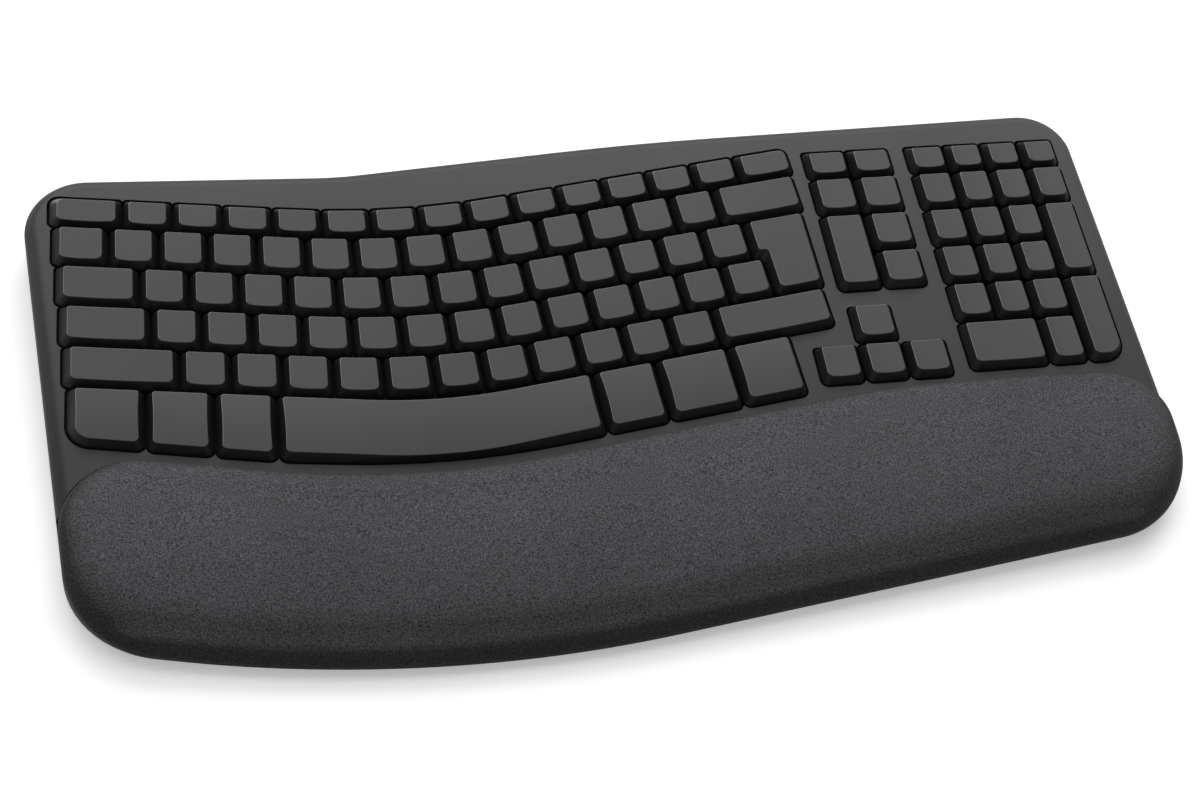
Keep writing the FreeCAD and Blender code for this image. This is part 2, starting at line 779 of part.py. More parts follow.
def palm_corners():
    """Plan corners of the palm rest; its rear edge follows the bottom row."""
    case = case_corners()
    straight_rear = pad_front - size("palm_margin")
    vertex = bottom_row.front - size("palm_wave_margin")
    front = [(x, y - size("palm_overhang"), radius) for x, y, radius in case[:3]]
    rear = [(case[2][0] - size("palm_right_inset"), straight_rear, size("palm_corner")),
            (size("arrow_u"), straight_rear, size("palm_bend_radius")),
            (bottom_row.centre - size("palm_wave_shift"), vertex, size("palm_wave_radius")),
            (case[0][0] - size("palm_left_spread"), vertex + size("palm_left_rise"),
             size("palm_left_corner"))]
    return front + rear


shelf = Placement(Vector(0, palm_corners()[1][1], size("shelf_front_height")),
                  Rotation(Vector(1, 0, 0), size("shelf_slope")))


def shelf_height_at(y):
    """Height of the palm rest's shelf above the desk."""
    return shelf.Base.z + (y - shelf.Base.y) * math.tan(math.radians(size("shelf_slope")))


def palm_cutter(grow, drop):
    """Room over the shelf: the palm rest's outline, open to the front and the sides."""
    palm = palm_corners()
    outline = rounded_wire(palm, -grow)
    room = prism([outline], 0, FAR)
    left_open = palm[6][1] - size("left_opening") + grow
    right_open = palm[3][1] - size("right_opening") + grow
    open_side = Part.makePolygon([Vector(-FAR, -FAR, 0), Vector(FAR, -FAR, 0), Vector(FAR, right_open, 0),
                                  Vector(-FAR, left_open, 0), Vector(-FAR, -FAR, 0)])
    room = room.fuse(prism([open_side], 0, FAR))
    return room.common(above_plane(shelf, -drop))


# Places of screws, feet, bay and legs, shared by both shells

floor_low = size("foot_height")
floor_top = floor_low + size("floor_thickness")
case_low = floor_top + size("seam_gap")

case_plan = case_corners()
SCREWS = [(main_left + 13.5, bottom_row.front - 19.5), (function_row.centre - 8.7, bottom_row.front - 26.5),
          (main_right - 51.5, bottom_row.front - 14.5), (pad_edges[4] - 8.1, bottom_row.front - 14.5),
          (nav_right - 7.0, size("arrow_v") + 21.8), (main_left + 61.5, function_row.rear + 14.0),
          (function_row.centre + 6.3, function_row.rear + 9.0), (main_right - 31.5, FUNCTION.rear + 6.8),
          (pad_edges[4] - 12.1, FUNCTION.rear + 6.8)]
SUPPORTS = [(main_left + 21.5, lower_v), (main_left + 101.5, lower_v - 22.0),
            (main_right - 121.5, lower_v - 22.0), (main_right - 41.5, lower_v),
            (nav_right - 16.0, block_v + 26.4), (pad_edges[4] - 8.0, block_v - 13.6),
            (pad_edges[4] - 8.0, block_v + 36.4), (main_left + 101.5, lower_v + 58.0),
            (main_right - 101.5, lower_v + 60.0)]
FOOT_OFFSETS = [(0, 47.5, 6.1), (1, 65.0, 19.1), (2, -42.5, 6.4), (6, 95.0, -20.0), (3, -80.5, -15.0)]
FEET = [(case_plan[corner][0] + across, case_plan[corner][1] + back)
        for corner, across, back in FOOT_OFFSETS]

bay_length = 2 * (size("cell_length") + size("cell_nub")) + 2 * size("spring_room")
bay_half_y = size("cell_diameter") / 2 + size("bay_clearance")
cell_axis = floor_top + size("cell_diameter") / 2 + size("cell_lift")
bay_x0 = size("bay_x") - bay_length / 2
bay_x1 = size("bay_x") + bay_length / 2
bay_y0 = size("bay_y") - bay_half_y
bay_y1 = size("bay_y") + bay_half_y
door_half = bay_length / 2 - size("door_lip") - size("door_gap")
door_axis = Vector(size("bay_x"), bay_y1 - size("door_gap") - size("floor_thickness") / 2,
                   floor_low + size("floor_thickness") / 2)

pocket_half = size("leg_width") / 2 + size("leg_clearance")
pocket_front = -size("leg_length") - size("leg_pad_depth") - size("leg_clearance")
pocket_rear = size("leg_barrel_radius") + size("leg_swing_room")
pin_bore_half = size("leg_width") / 2 + size("leg_pin_length") + size("leg_clearance")
pocket_top = size("leg_hinge_height") + size("leg_barrel_radius") + size("leg_clearance")

# Top case

EDGE_REACH = 0.6                 # an edge this near the deck belongs to its outline


def case_room(inset):
    """Room inside the top case, its sides drawn in by inset."""
    wall = size("case_wall")
    room = prism([rounded_wire(case_corners(), wall + inset)], floor_low, FAR)
    room = room.cut(above_plane(deck, -wall))
    roll = []
    for rim_edge in room.Edges:
        middle = rim_edge.CenterOfMass
        if abs(middle.z - deck_height_at(middle.y) + wall) < EDGE_REACH:
            roll.append(rim_edge)
    room = room.makeFillet(size("edge_roll") - wall, roll)
    step = size("palm_gap") + size("step_wall") + inset
    return room.cut(palm_cutter(step, size("shelf_roof")))


def top_case():
    """Deep upper shell with rolled edges, key windows, palm shelf and screw bosses."""
    corners = case_corners()
    wall = size("case_wall")
    outer = prism([rounded_wire(corners)], case_low, FAR).cut(above_plane(deck, 0.0))
    roll = []
    for rim_edge in outer.Edges:
        middle = rim_edge.CenterOfMass
        if abs(middle.z - deck_height_at(middle.y)) < EDGE_REACH:
            roll.append(rim_edge)
    outer = outer.makeFillet(size("edge_roll"), roll)
    outer = outer.cut(palm_cutter(size("palm_gap"), 0.0))
    bosses = [cylinder(x, y, floor_top, FAR, size("boss_radius")) for x, y in SCREWS]
    shell = outer.cut(case_room(0.0).cut(bosses))
    bore = size("screw_radius") + size("screw_fit")
    bores = [cylinder(x, y, floor_low, floor_top + size("screw_length"), bore) for x, y in SCREWS]
    boss_ends = [cylinder(x, y, floor_top, case_low, size("boss_radius")) for x, y in SCREWS]
    return shell.fuse(boss_ends).cut(bores).cut(windows(deck))


def windows(placement):
    """Openings round the key blocks: every plot grown by the window gap, joined up."""
    grow = size("window_gap") - size("key_gap") / 2
    tools = []
    for block in BLOCKS:
        names = [name for name in groups if name.startswith(block)]
        if block == MAIN_BLOCK:
            names = [name for name in groups if not name.startswith(BLOCKS[1:])]
        plots = [flat([cell.wire(-grow, 0.0, size("base_radius") + grow)])
                 for name in names for cell in groups[name]]
        joined = Part.Shell(plots[0].multiFuse(plots[1:]).Faces).removeSplitter()
        for face in joined.Faces:
            tool = prism([face.OuterWire], -3 * size("case_wall"), size("case_wall"))
            tool.Placement = placement
            tools.append(tool)
    return tools


feature("top_case", top_case().removeSplitter())

# Bottom case


def leg_places():
    """Hinge centres of the two tilt legs."""
    height = size("leg_hinge_height")
    left_y = size("leg_hinge_y") - size("left_leg_setback")
    return {"left": Vector(-size("leg_x"), left_y, height),
            "right": Vector(size("leg_x"), size("leg_hinge_y"), height)}


def bar(centre, half_length, radius):
    """Cylinder along X about a centre."""
    return Part.makeCylinder(radius, 2 * half_length, centre - Vector(half_length, 0, 0), Vector(1, 0, 0))


def bottom_case():
    """Tray with the battery bay, leg pockets, board posts and screw seats."""
    corners = case_corners()
    tray = prism([rounded_wire(corners, size("tray_inset"))], floor_low, floor_top)
    lower = [rim_edge for rim_edge in tray.Edges if rim_edge.BoundBox.ZMax < floor_low + 0.01]
    tray = tray.makeChamfer(size("floor_chamfer"), lower)
    wall = size("pocket_wall")
    added = [box(bay_x0 - size("bay_wall"), bay_x1 + size("bay_wall"), bay_y0 - size("bay_wall"),
                 bay_y1 + size("bay_wall"), floor_top, cell_axis)]
    removed = [box(bay_x0, bay_x1, bay_y0, bay_y1, floor_top, FAR),
               box(bay_x0 + size("door_lip"), bay_x1 - size("door_lip"), bay_y0, bay_y1, 0, FAR)]
    for place in leg_places().values():
        block_half = pin_bore_half + size("pin_cover")
        added.append(box(place.x - block_half, place.x + block_half, place.y + pocket_front - wall,
                         place.y + pocket_rear + wall, floor_top, pocket_top + wall))
        removed.append(box(place.x - pocket_half, place.x + pocket_half,
                           place.y + pocket_front, place.y + pocket_rear, 0, pocket_top))
        removed.append(bar(place, pin_bore_half, size("leg_pin_radius") + size("leg_pin_fit")))
    post_x = size("board_length") / 2 - size("board_post_inset")
    for sign in (-1, 1):
        added.append(cylinder(size("board_x") + sign * post_x, size("board_y"), floor_top,
                              size("board_height"), size("board_post_radius")))
    stack = above_plane(deck, stack_low)
    for x, y in SUPPORTS:
        added.append(cylinder(x, y, floor_top, size("deck_height"), size("support_radius")).cut(stack))
    removed.append(bar(door_axis, door_half + size("door_pin_length") + size("door_gap"),
                       size("door_pin_radius") + size("door_pin_fit")))
    for x, y in SCREWS:
        removed.append(cylinder(x, y, 0, floor_top + 1, size("screw_radius") + size("screw_fit")))
        seat = size("screw_head_radius") + size("head_fit")
        removed.append(cylinder(x, y, 0, floor_low + size("screw_head"), seat))
    for x, y in FEET:
        removed.append(cylinder(x, y, 0, floor_low + size("foot_recess"), size("foot_radius")))
    slot_half_x = size("knob_length") / 2 + size("slider_fit")
    slot_half_y = size("knob_width") / 2 + size("slider_fit")
    slot_end = size("switch_x") + slot_half_x + size("slider_travel")
    removed.append(box(size("switch_x") - slot_half_x, slot_end,
                       size("board_y") - slot_half_y, size("board_y") + slot_half_y, 0, FAR))
    return tray.fuse(added).cut(removed)


feature("bottom_case", bottom_case().removeSplitter())

# Layers under the keys, in deck coordinates


def boss_places():
    """Screw bosses that pass through the layers, on the deck."""
    limit = bottom_row.front
    return [(x, y / math.cos(math.radians(size("deck_tilt")))) for x, y in SCREWS if y > limit]


def boss_room():
    """Room round the bosses that pass through the layers."""
    radius = size("boss_radius") + size("boss_room")
    return [cylinder(u, v, -FAR, FAR, radius) for u, v in boss_places()]


def layer(inset, low, high, holes=()):
    """Thin layer of the stack with room for the bosses and the given holes."""
    wires = [rounded_wire(field_corners(), inset)] + list(holes)
    return prism(wires, low, high).cut(boss_room())


def square_wire(u, v, side):
    """Square outline about a stem."""
    half = side / 2
    points = [Vector(u - half, v - half, 0), Vector(u + half, v - half, 0),
              Vector(u + half, v + half, 0), Vector(u - half, v + half, 0)]
    return Part.makePolygon(points + points[:1])


def key_frame():
    """Guide plate with a rim below and above it, and a sleeve round every stem."""
    bore = size("stem_side") + 2 * size("stem_clearance")
    stems = [stem for cell in cells for stem in cell.stems]
    low = -frame_top - size("frame_plate")
    plate = layer(0.0, low, -frame_top, [square_wire(u, v, bore) for u, v in stems])
    rim_wires = [rounded_wire(field_corners(), 0.0), rounded_wire(field_corners(), size("frame_rim"))]
    room = boss_room()
    lower_rim = prism(rim_wires, -frame_depth, low).cut(room)
    inside = case_room(size("rim_clearance"))
    inside.transformShape(deck.toMatrix().inverse())
    upper_rim = prism(rim_wires, -frame_top, -size("case_wall")).cut(room + windows(Placement()))
    upper_rim = upper_rim.common(inside)
    outside = bore + 2 * size("sleeve_wall")
    sleeves = [prism([square_wire(u, v, outside), square_wire(u, v, bore)],
                     -frame_top, -size("sleeve_top")) for u, v in stems]
    return plate.multiFuse([lower_rim, upper_rim] + sleeves)


def dome_sheet():
    """Silicone sheet with one hollow dome under every key."""
    wall = size("dome_wall")
    inner_low = size("dome_radius") - wall
    inner_top = size("dome_top_radius") - wall
    height = frame_depth - size("stem_depth") - size("dome_seat")
    holes = []
    domes = []
    for cell in cells:
        u, v = cell.stems[0]
        holes.append(Part.Wire(Part.makeCircle(inner_low, Vector(u, v, 0))))
        place = Vector(u, v, -frame_depth)
        outer = Part.makeCone(size("dome_radius"), size("dome_top_radius"), height, place)
        inner = Part.makeCone(inner_low, inner_top, height - wall, place)
        domes.append(outer.cut(inner))
    return layer(0.0, foil_top, -frame_depth, holes).multiFuse(domes)


feature("key_frame", key_frame().removeSplitter(), deck)
feature("dome_sheet", dome_sheet().removeSplitter(), deck)
feature("membrane", layer(0.0, plate_top, foil_top), deck)
feature("backing_plate", layer(0.0, stack_low, plate_top), deck)

# Palm rest


CREST_SHARE = 0.36               # of the section's depth, at most
NOSE_SHARE = 0.3
REAR_TURN = (0.3, 0.72)          # middle of the rear roll, as shares of its depth and rise
NOSE_TURN = (0.28, 0.7)
END_STATIONS = (0.6, 2.5, 6.0, 11.0, 18.0, 28.0, 40.0)
MIDDLE_SPANS = 8


def palm_section(x, skin):
    """Upright section of the pad at x: flat base, rear side, rolled rear, long slope, nose."""
    palm = palm_corners()
    outline = flat([rounded_wire(palm, size("palm_inset") + skin)])
    line = Part.makeLine(Vector(x, -FAR, 0), Vector(x, FAR, 0))
    span = outline.common(line).BoundBox
    front, rear = span.YMin, span.YMax
    ends = outline.BoundBox
    from_end = min(x - ends.XMin, ends.XMax - x)
    share = min(1.0, max(0.0, from_end / size("end_roll")))
    swell = 0.5 + 0.5 * math.sqrt(1 - (1 - share) ** 2)
    depth = rear - front
    crest_y = rear - min(size("crest_back"), CREST_SHARE * depth)
    nose_y = front + min(size("nose_depth"), NOSE_SHARE * depth)

    def lifted(y, height):
        """Point of the section, its height above the shelf thinned out towards the ends."""
        base = shelf_height_at(y)
        return Vector(x, y, base + (height - base) * swell)

    edge_height = deck_height_at(rear) - size("rear_edge_drop") - skin
    crest_height = deck_height_at(rear) + size("crest_rise") - skin
    nose_height = shelf_height_at(nose_y) + size("nose_height") - skin
    rear_low = Vector(x, rear, shelf_height_at(rear))
    rear_high = lifted(rear, edge_height)
    crest = lifted(crest_y, crest_height)
    nose = lifted(nose_y, nose_height)
    front_low = Vector(x, front, shelf_height_at(front))
    turn_rear = lifted(rear - REAR_TURN[0] * (rear - crest_y),
                       edge_height + REAR_TURN[1] * (crest_height - edge_height))
    slope_middle = (crest + nose) * 0.5 + Vector(0, 0, size("slope_crown") * swell)
    turn_nose = lifted(front + NOSE_TURN[0] * (nose_y - front),
                       shelf_height_at(front) + NOSE_TURN[1] * (nose_height - shelf_height_at(nose_y)))
    return Part.Wire([Part.makeLine(front_low, rear_low), Part.makeLine(rear_low, rear_high),
                      arc(rear_high, turn_rear, crest), arc(crest, slope_middle, nose),
                      arc(nose, turn_nose, front_low)])


def palm_pad(skin):
    """Pad lofted along X through sections that shrink at both rounded ends."""
    ends = flat([rounded_wire(palm_corners(), size("palm_inset") + skin)]).BoundBox
    inner_left = ends.XMin + END_STATIONS[-1]
    inner_right = ends.XMax - END_STATIONS[-1]
    places = [ends.XMin + distance for distance in END_STATIONS]
    for index in range(1, MIDDLE_SPANS):
        places.append(inner_left + (inner_right - inner_left) * index / MIDDLE_SPANS)
    places += [ends.XMax - distance for distance in reversed(END_STATIONS)]
    return Part.makeLoft([palm_section(x, skin) for x in places], True, False)


foam = palm_pad(size("cover_thickness"))
feature("palm_rest_foam", foam)
feature("palm_rest_cover", palm_pad(0.0).cut(foam))

# Screws, feet and cells from plain solids


def bound(kind, name, **sizes):
    """Plain solid whose measures follow the sheet."""
    solid = doc.addObject(kind, name)
    for key, expression in sizes.items():
        solid.setExpression(key, expression)
    return solid


def fused(name, parts):
    """Fusion of plain solids."""
    fusion = doc.addObject("Part::MultiFuse", name)
    fusion.Shapes = parts
    return fusion


def grouped(name, parts):
    """Sub-part made of separate like solids."""
    compound = doc.addObject("Part::Compound", name)
    compound.Links = parts
    return keep(compound, name)


screws = []
for index, (x, y) in enumerate(SCREWS, start=1):
    shank = bound("Part::Cylinder", f"screw_shank_{index}", Radius="sizes.screw_radius",
                  Height="sizes.screw_length + sizes.floor_thickness - sizes.screw_head")
    shank.Placement.Base = Vector(x, y, floor_low + size("screw_head"))
    head = bound("Part::Cylinder", f"screw_head_{index}", Radius="sizes.screw_head_radius",
                 Height="sizes.screw_head")
    head.Placement.Base = Vector(x, y, floor_low)
    screws.append(fused(f"screw_{index}", [shank, head]))
grouped("case_screws", screws)

feet = []
for index, (x, y) in enumerate(FEET, start=1):
    foot = bound("Part::Cylinder", f"foot_{index}", Radius="sizes.foot_radius",
                 Height="sizes.foot_height + sizes.foot_recess")
    foot.Placement.Base = Vector(x, y, 0)
    feet.append(foot)
grouped("rubber_feet", feet)

cell_pitch = size("cell_length") + size("cell_nub")
battery_cells = []
for index in range(2):
    start = bay_x0 + size("spring_room") + index * cell_pitch
    can = bound("Part::Cylinder", f"cell_can_{index}", Radius="sizes.cell_diameter / 2",
                Height="sizes.cell_length")
    can.Placement = Placement(Vector(start, size("bay_y"), cell_axis), Rotation(Vector(0, 1, 0), 90))
    nub = bound("Part::Cylinder", f"cell_nub_{index}", Radius="sizes.cell_nub_radius",
                Height="sizes.cell_nub")
    nub.Placement = Placement(Vector(start + size("cell_length"), size("bay_y"), cell_axis),
                              Rotation(Vector(0, 1, 0), 90))
    battery_cells.append(fused(f"cell_{index}", [can, nub]))
grouped("batteries", battery_cells)

contacts = []
contact_half = bay_half_y - size("contact_margin")
for index, (x, facing) in enumerate([(bay_x0, 1), (bay_x1 - size("contact_thickness"), -1)]):
    leaf = bound("Part::Box", f"contact_leaf_{index}", Length="sizes.contact_thickness",
                 Width="sizes.cell_diameter + 2 * (sizes.bay_clearance - sizes.contact_margin)",
                 Height="sizes.cell_diameter / 2 + sizes.cell_lift - sizes.contact_lift"
                        " + sizes.contact_rise")
    leaf.Placement.Base = Vector(x, size("bay_y") - contact_half, floor_top + size("contact_lift"))
    spring = bound("Part::Cone", f"contact_spring_{index}",
                   Radius1="sizes.cell_nub_radius + sizes.spring_flare",
                   Radius2="sizes.cell_nub_radius - sizes.spring_tip",
                   Height="sizes.spring_room - sizes.contact_thickness")
    root = x + size("contact_thickness") if facing > 0 else x
    spring.Placement = Placement(Vector(root, size("bay_y"), cell_axis),
                                 Rotation(Vector(0, 1, 0), 90 * facing))
    contacts.append(fused(f"contact_{index}", [leaf, spring]))
grouped("battery_contacts", contacts)

switch_low = size("board_height") - size("switch_height")
switch_centre = Vector(size("switch_x") + size("slider_travel") / 2, size("board_y"), switch_low)
switch_body = bound("Part::Box", "switch_body", Length="sizes.switch_length", Width="sizes.switch_width",
                    Height="sizes.switch_height")
switch_body.Placement.Base = switch_centre - Vector(size("switch_length") / 2, size("switch_width") / 2, 0)
slot_length = size("post_side") + size("slider_travel") + 2 * size("slider_fit")
slot_width = size("post_side") + 2 * size("slider_fit")
switch_slot = bound("Part::Box", "switch_slot",
                    Length="sizes.post_side + sizes.slider_travel + 2 * sizes.slider_fit",
                    Width="sizes.post_side + 2 * sizes.slider_fit",
                    Height="sizes.post_reach + sizes.slider_fit")
switch_slot.Placement.Base = switch_centre - Vector(slot_length / 2, slot_width / 2, 0)
switch = doc.addObject("Part::Cut", "power_switch")
switch.Base = switch_body
switch.Tool = switch_slot
keep(switch, "power_switch")

# Bodies from sketches


def new_body(name, base):
    """Body of a sketched sub-part, placed at base."""
    part = doc.addObject("PartDesign::Body", name)
    part.Placement = Placement(base, Rotation())
    return keep(part, name)


def origin_plane(part, role):
    """One of the body's own origin planes."""
    return next(item for item in part.Origin.OriginFeatures if item.Role == role)


def sketch_on(part, name, role, shift):
    """Sketch on an origin plane, shifted in the plane and off it."""
    sketch = part.newObject("Sketcher::SketchObject", name)
    sketch.AttachmentSupport = [(origin_plane(part, role), "")]
    sketch.MapMode = "FlatFace"
    for axis, expression in zip("xyz", shift):
        sketch.setExpression(f"AttachmentOffset.Base.{axis}", expression)
    return sketch


def rectangle(part, name, role, width, height, shift=("0", "0", "0")):
    """Rectangle about the sketch's origin, its sides bound to the sheet."""
    sketch = sketch_on(part, name, role, shift)
    points = [Vector(-5, -5, 0), Vector(5, -5, 0), Vector(5, 5, 0), Vector(-5, 5, 0)]
    for index in range(4):
        sketch.addGeometry(Part.LineSegment(points[index], points[(index + 1) % 4]))
    for index in range(4):
        sketch.addConstraint(Sketcher.Constraint("Coincident", index, 2, (index + 1) % 4, 1))
    for index in (0, 2):
        sketch.addConstraint(Sketcher.Constraint("Horizontal", index))
    for index in (1, 3):
        sketch.addConstraint(Sketcher.Constraint("Vertical", index))
    sketch.addConstraint(Sketcher.Constraint("Symmetric", 0, 1, 1, 2, -1, 1))
    across = sketch.addConstraint(Sketcher.Constraint("DistanceX", 0, 1, 0, 2, 10))
    upward = sketch.addConstraint(Sketcher.Constraint("DistanceY", 1, 1, 1, 2, 10))
    sketch.setExpression(f"Constraints[{across}]", width)
    sketch.setExpression(f"Constraints[{upward}]", height)
    return sketch


def circle(part, name, role, radius, shift=("0", "0", "0")):
    """Circle about the sketch's origin, its radius bound to the sheet."""
    sketch = sketch_on(part, name, role, shift)
    sketch.addGeometry(Part.Circle(Vector(0, 0, 0), Vector(0, 0, 1), 3))
    sketch.addConstraint(Sketcher.Constraint("Coincident", 0, 3, -1, 1))
    radial = sketch.addConstraint(Sketcher.Constraint("Radius", 0, 3))
    sketch.setExpression(f"Constraints[{radial}]", radius)
    return sketch


def pad(part, sketch, length, midplane=False):
    """Pad of a sketch, as long as the expression says."""
    solid = part.newObject("PartDesign::Pad", f"{sketch.Name}_pad")
    solid.Profile = sketch
    solid.setExpression("Length", length)
    solid.Midplane = midplane
    return solid


def pocket(part, sketch, length):
    """Cut of a sketch to both sides of its plane."""
    cut = part.newObject("PartDesign::Pocket", f"{sketch.Name}_pocket")
    cut.Profile = sketch
    cut.setExpression("Length", length)
    cut.Midplane = True
    return cut


def tilt_leg(name, place):
    """Flat leg on a barrel with two pivot pins, folded towards the front."""
    part = new_body(name, place)
    reach = "sizes.leg_length - sizes.leg_barrel_radius / 2"
    plate = rectangle(part, f"{name}_plate", "XY_Plane", "sizes.leg_width", reach,
                      ("0", "-sizes.leg_length / 2 - sizes.leg_barrel_radius / 4",
                       "-sizes.leg_barrel_radius"))
    pad(part, plate, "sizes.leg_thickness")
    barrel = circle(part, f"{name}_barrel", "YZ_Plane", "sizes.leg_barrel_radius")
    pad(part, barrel, "sizes.leg_width", midplane=True)
    pins = circle(part, f"{name}_pins", "YZ_Plane", "sizes.leg_pin_radius")
    pad(part, pins, "sizes.leg_width + 2 * sizes.leg_pin_length", midplane=True)
    window = rectangle(part, f"{name}_relief", "XY_Plane", "sizes.leg_width / 2", "sizes.leg_length / 3",
                       ("0", "-sizes.leg_length * 0.55", "-sizes.leg_barrel_radius"))
    pocket(part, window, "sizes.leg_thickness")
    return part


def leg_pad(name, place):
    """Rubber strip on the leg's free end."""
    part = new_body(name, place)
    strip = rectangle(part, f"{name}_strip", "XY_Plane", "sizes.leg_width - 2 * sizes.leg_pad_inset",
                      "sizes.leg_pad_depth",
                      ("0", "-sizes.leg_length - sizes.leg_pad_depth / 2", "-sizes.leg_barrel_radius"))
    pad(part, strip, "sizes.leg_thickness")
    return part


for side, place in leg_places().items():
    tilt_leg(f"{side}_leg", place)
    leg_pad(f"{side}_leg_pad", place)

door = new_body("battery_door", door_axis)
door_length = ("2 * (sizes.cell_length + sizes.cell_nub + sizes.spring_room - sizes.door_lip"
               " - sizes.door_gap)")
door_width = ("(sizes.cell_diameter + 2 * sizes.bay_clearance - 2 * sizes.door_gap"
              " - sizes.floor_thickness / 2)")
door_low = "-sizes.floor_thickness / 2"
plate = rectangle(door, "door_plate", "XY_Plane", door_length, door_width,
                  ("0", f"-{door_width} / 2", door_low))
pad(door, plate, "sizes.floor_thickness")
pad(door, circle(door, "door_barrel", "YZ_Plane", "sizes.floor_thickness / 2"), door_length, midplane=True)
pad(door, circle(door, "door_pins", "YZ_Plane", "sizes.door_pin_radius"),
    f"{door_length} + 2 * (sizes.door_gap + sizes.door_pin_length)", midplane=True)
notch = rectangle(door, "door_notch", "XY_Plane", "sizes.notch_width", "2 * sizes.notch_depth",
                  ("0", f"-{door_width}", door_low))
pocket(door, notch, "sizes.floor_thickness")

board = new_body("circuit_board", Vector(size("board_x"), size("board_y"), size("board_height")))
pad(board, rectangle(board, "board_sheet", "XY_Plane", "sizes.board_length", "sizes.board_width"),
    "sizes.board_thickness")
pad(board, rectangle(board, "board_chip", "XY_Plane", "sizes.chip_side", "sizes.chip_side",
                     ("sizes.board_length / 6", "0", "sizes.board_thickness")), "sizes.chip_height")
pad(board, rectangle(board, "board_connector", "XY_Plane", "sizes.connector_length",
                     "sizes.connector_width",
                     ("-sizes.board_length / 8", "-sizes.board_width / 2 + sizes.connector_width",
                      "sizes.board_thickness")), "sizes.connector_height")

slider = new_body("power_slider", Vector(size("switch_x"), size("board_y"), floor_top + size("slide_lift")))
pad(slider, rectangle(slider, "slider_plate", "XY_Plane", "sizes.slider_length", "sizes.slider_width"),
    "sizes.slider_plate")
pad(slider, rectangle(slider, "slider_knob", "XY_Plane", "sizes.knob_length", "sizes.knob_width",
                      ("0", "0", "sizes.knob_recess - sizes.floor_thickness")),
    "sizes.floor_thickness - sizes.knob_recess")
post_length = ("sizes.board_height - sizes.switch_height + sizes.post_reach - sizes.foot_height"
               " - sizes.floor_thickness - sizes.slider_plate - sizes.slide_lift")
pad(slider, rectangle(slider, "slider_post", "XY_Plane", "sizes.post_side", "sizes.post_side",
                      ("0", "0", "sizes.slider_plate")), post_length)

doc.recompute()

# Every object is sound before anything is written

for item in doc.Objects:
    if "Invalid" in item.State or "Error" in item.State:
        raise RuntimeError(f"{item.Name} failed: {item.State}")
for name, part in nodes.items():
    if part.Shape.isNull() or not part.Shape.isValid():
        raise RuntimeError(f"{name} has no sound shape")
for name, part in nodes.items():
    part.Shape.exportStep(f"parts/{name}.step")
whole = Part.makeCompound([part.Shape for part in nodes.values()]).BoundBox
print(f"{len(nodes)} nodes, {len(cells)} keys")
print(f"{whole.XLength:.1f} x {whole.YLength:.1f} x {whole.ZLength:.1f} mm")
print(f"centre {whole.Center.x:.2f} {whole.Center.y:.2f}, low {whole.ZMin:.2f}")
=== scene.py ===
"""Looks of an ergonomic keyboard: finishes, palm rest, small underside parts and the studio.

All lengths are in metres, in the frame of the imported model: +X along the length, +Y to the rear, +Z up.
"""

import logging
import math
from collections.abc import Callable
from dataclasses import dataclass, field
from enum import Enum

import bmesh
import bpy
from mathutils import Matrix, Vector, noise


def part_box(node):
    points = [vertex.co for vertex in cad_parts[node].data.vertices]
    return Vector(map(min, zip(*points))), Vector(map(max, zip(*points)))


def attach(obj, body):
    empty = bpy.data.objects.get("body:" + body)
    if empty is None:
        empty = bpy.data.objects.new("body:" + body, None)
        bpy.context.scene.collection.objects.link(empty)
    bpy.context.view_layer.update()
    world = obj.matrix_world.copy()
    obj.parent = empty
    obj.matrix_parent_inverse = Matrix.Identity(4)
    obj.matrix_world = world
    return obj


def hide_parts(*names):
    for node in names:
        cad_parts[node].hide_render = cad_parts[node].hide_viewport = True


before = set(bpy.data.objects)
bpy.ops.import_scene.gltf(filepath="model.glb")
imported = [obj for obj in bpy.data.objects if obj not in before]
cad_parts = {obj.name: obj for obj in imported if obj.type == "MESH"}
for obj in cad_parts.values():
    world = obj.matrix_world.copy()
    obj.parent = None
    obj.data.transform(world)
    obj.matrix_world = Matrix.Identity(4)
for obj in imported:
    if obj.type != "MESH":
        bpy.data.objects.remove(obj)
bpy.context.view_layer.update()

MM = 0.001
MERGE = 0.001 * MM
SHARP_ANGLE = 32.0
UP = Vector((0, 0, 1))
WHITE = (1.0, 1.0, 1.0, 1.0)
ROOT_BODY = "case"
NOISE_SPAN = (0.3, 0.7)
Colour = tuple[float, float, float]

logging.basicConfig(level=logging.INFO, format="%(message)s")
log = logging.getLogger("keyboard")


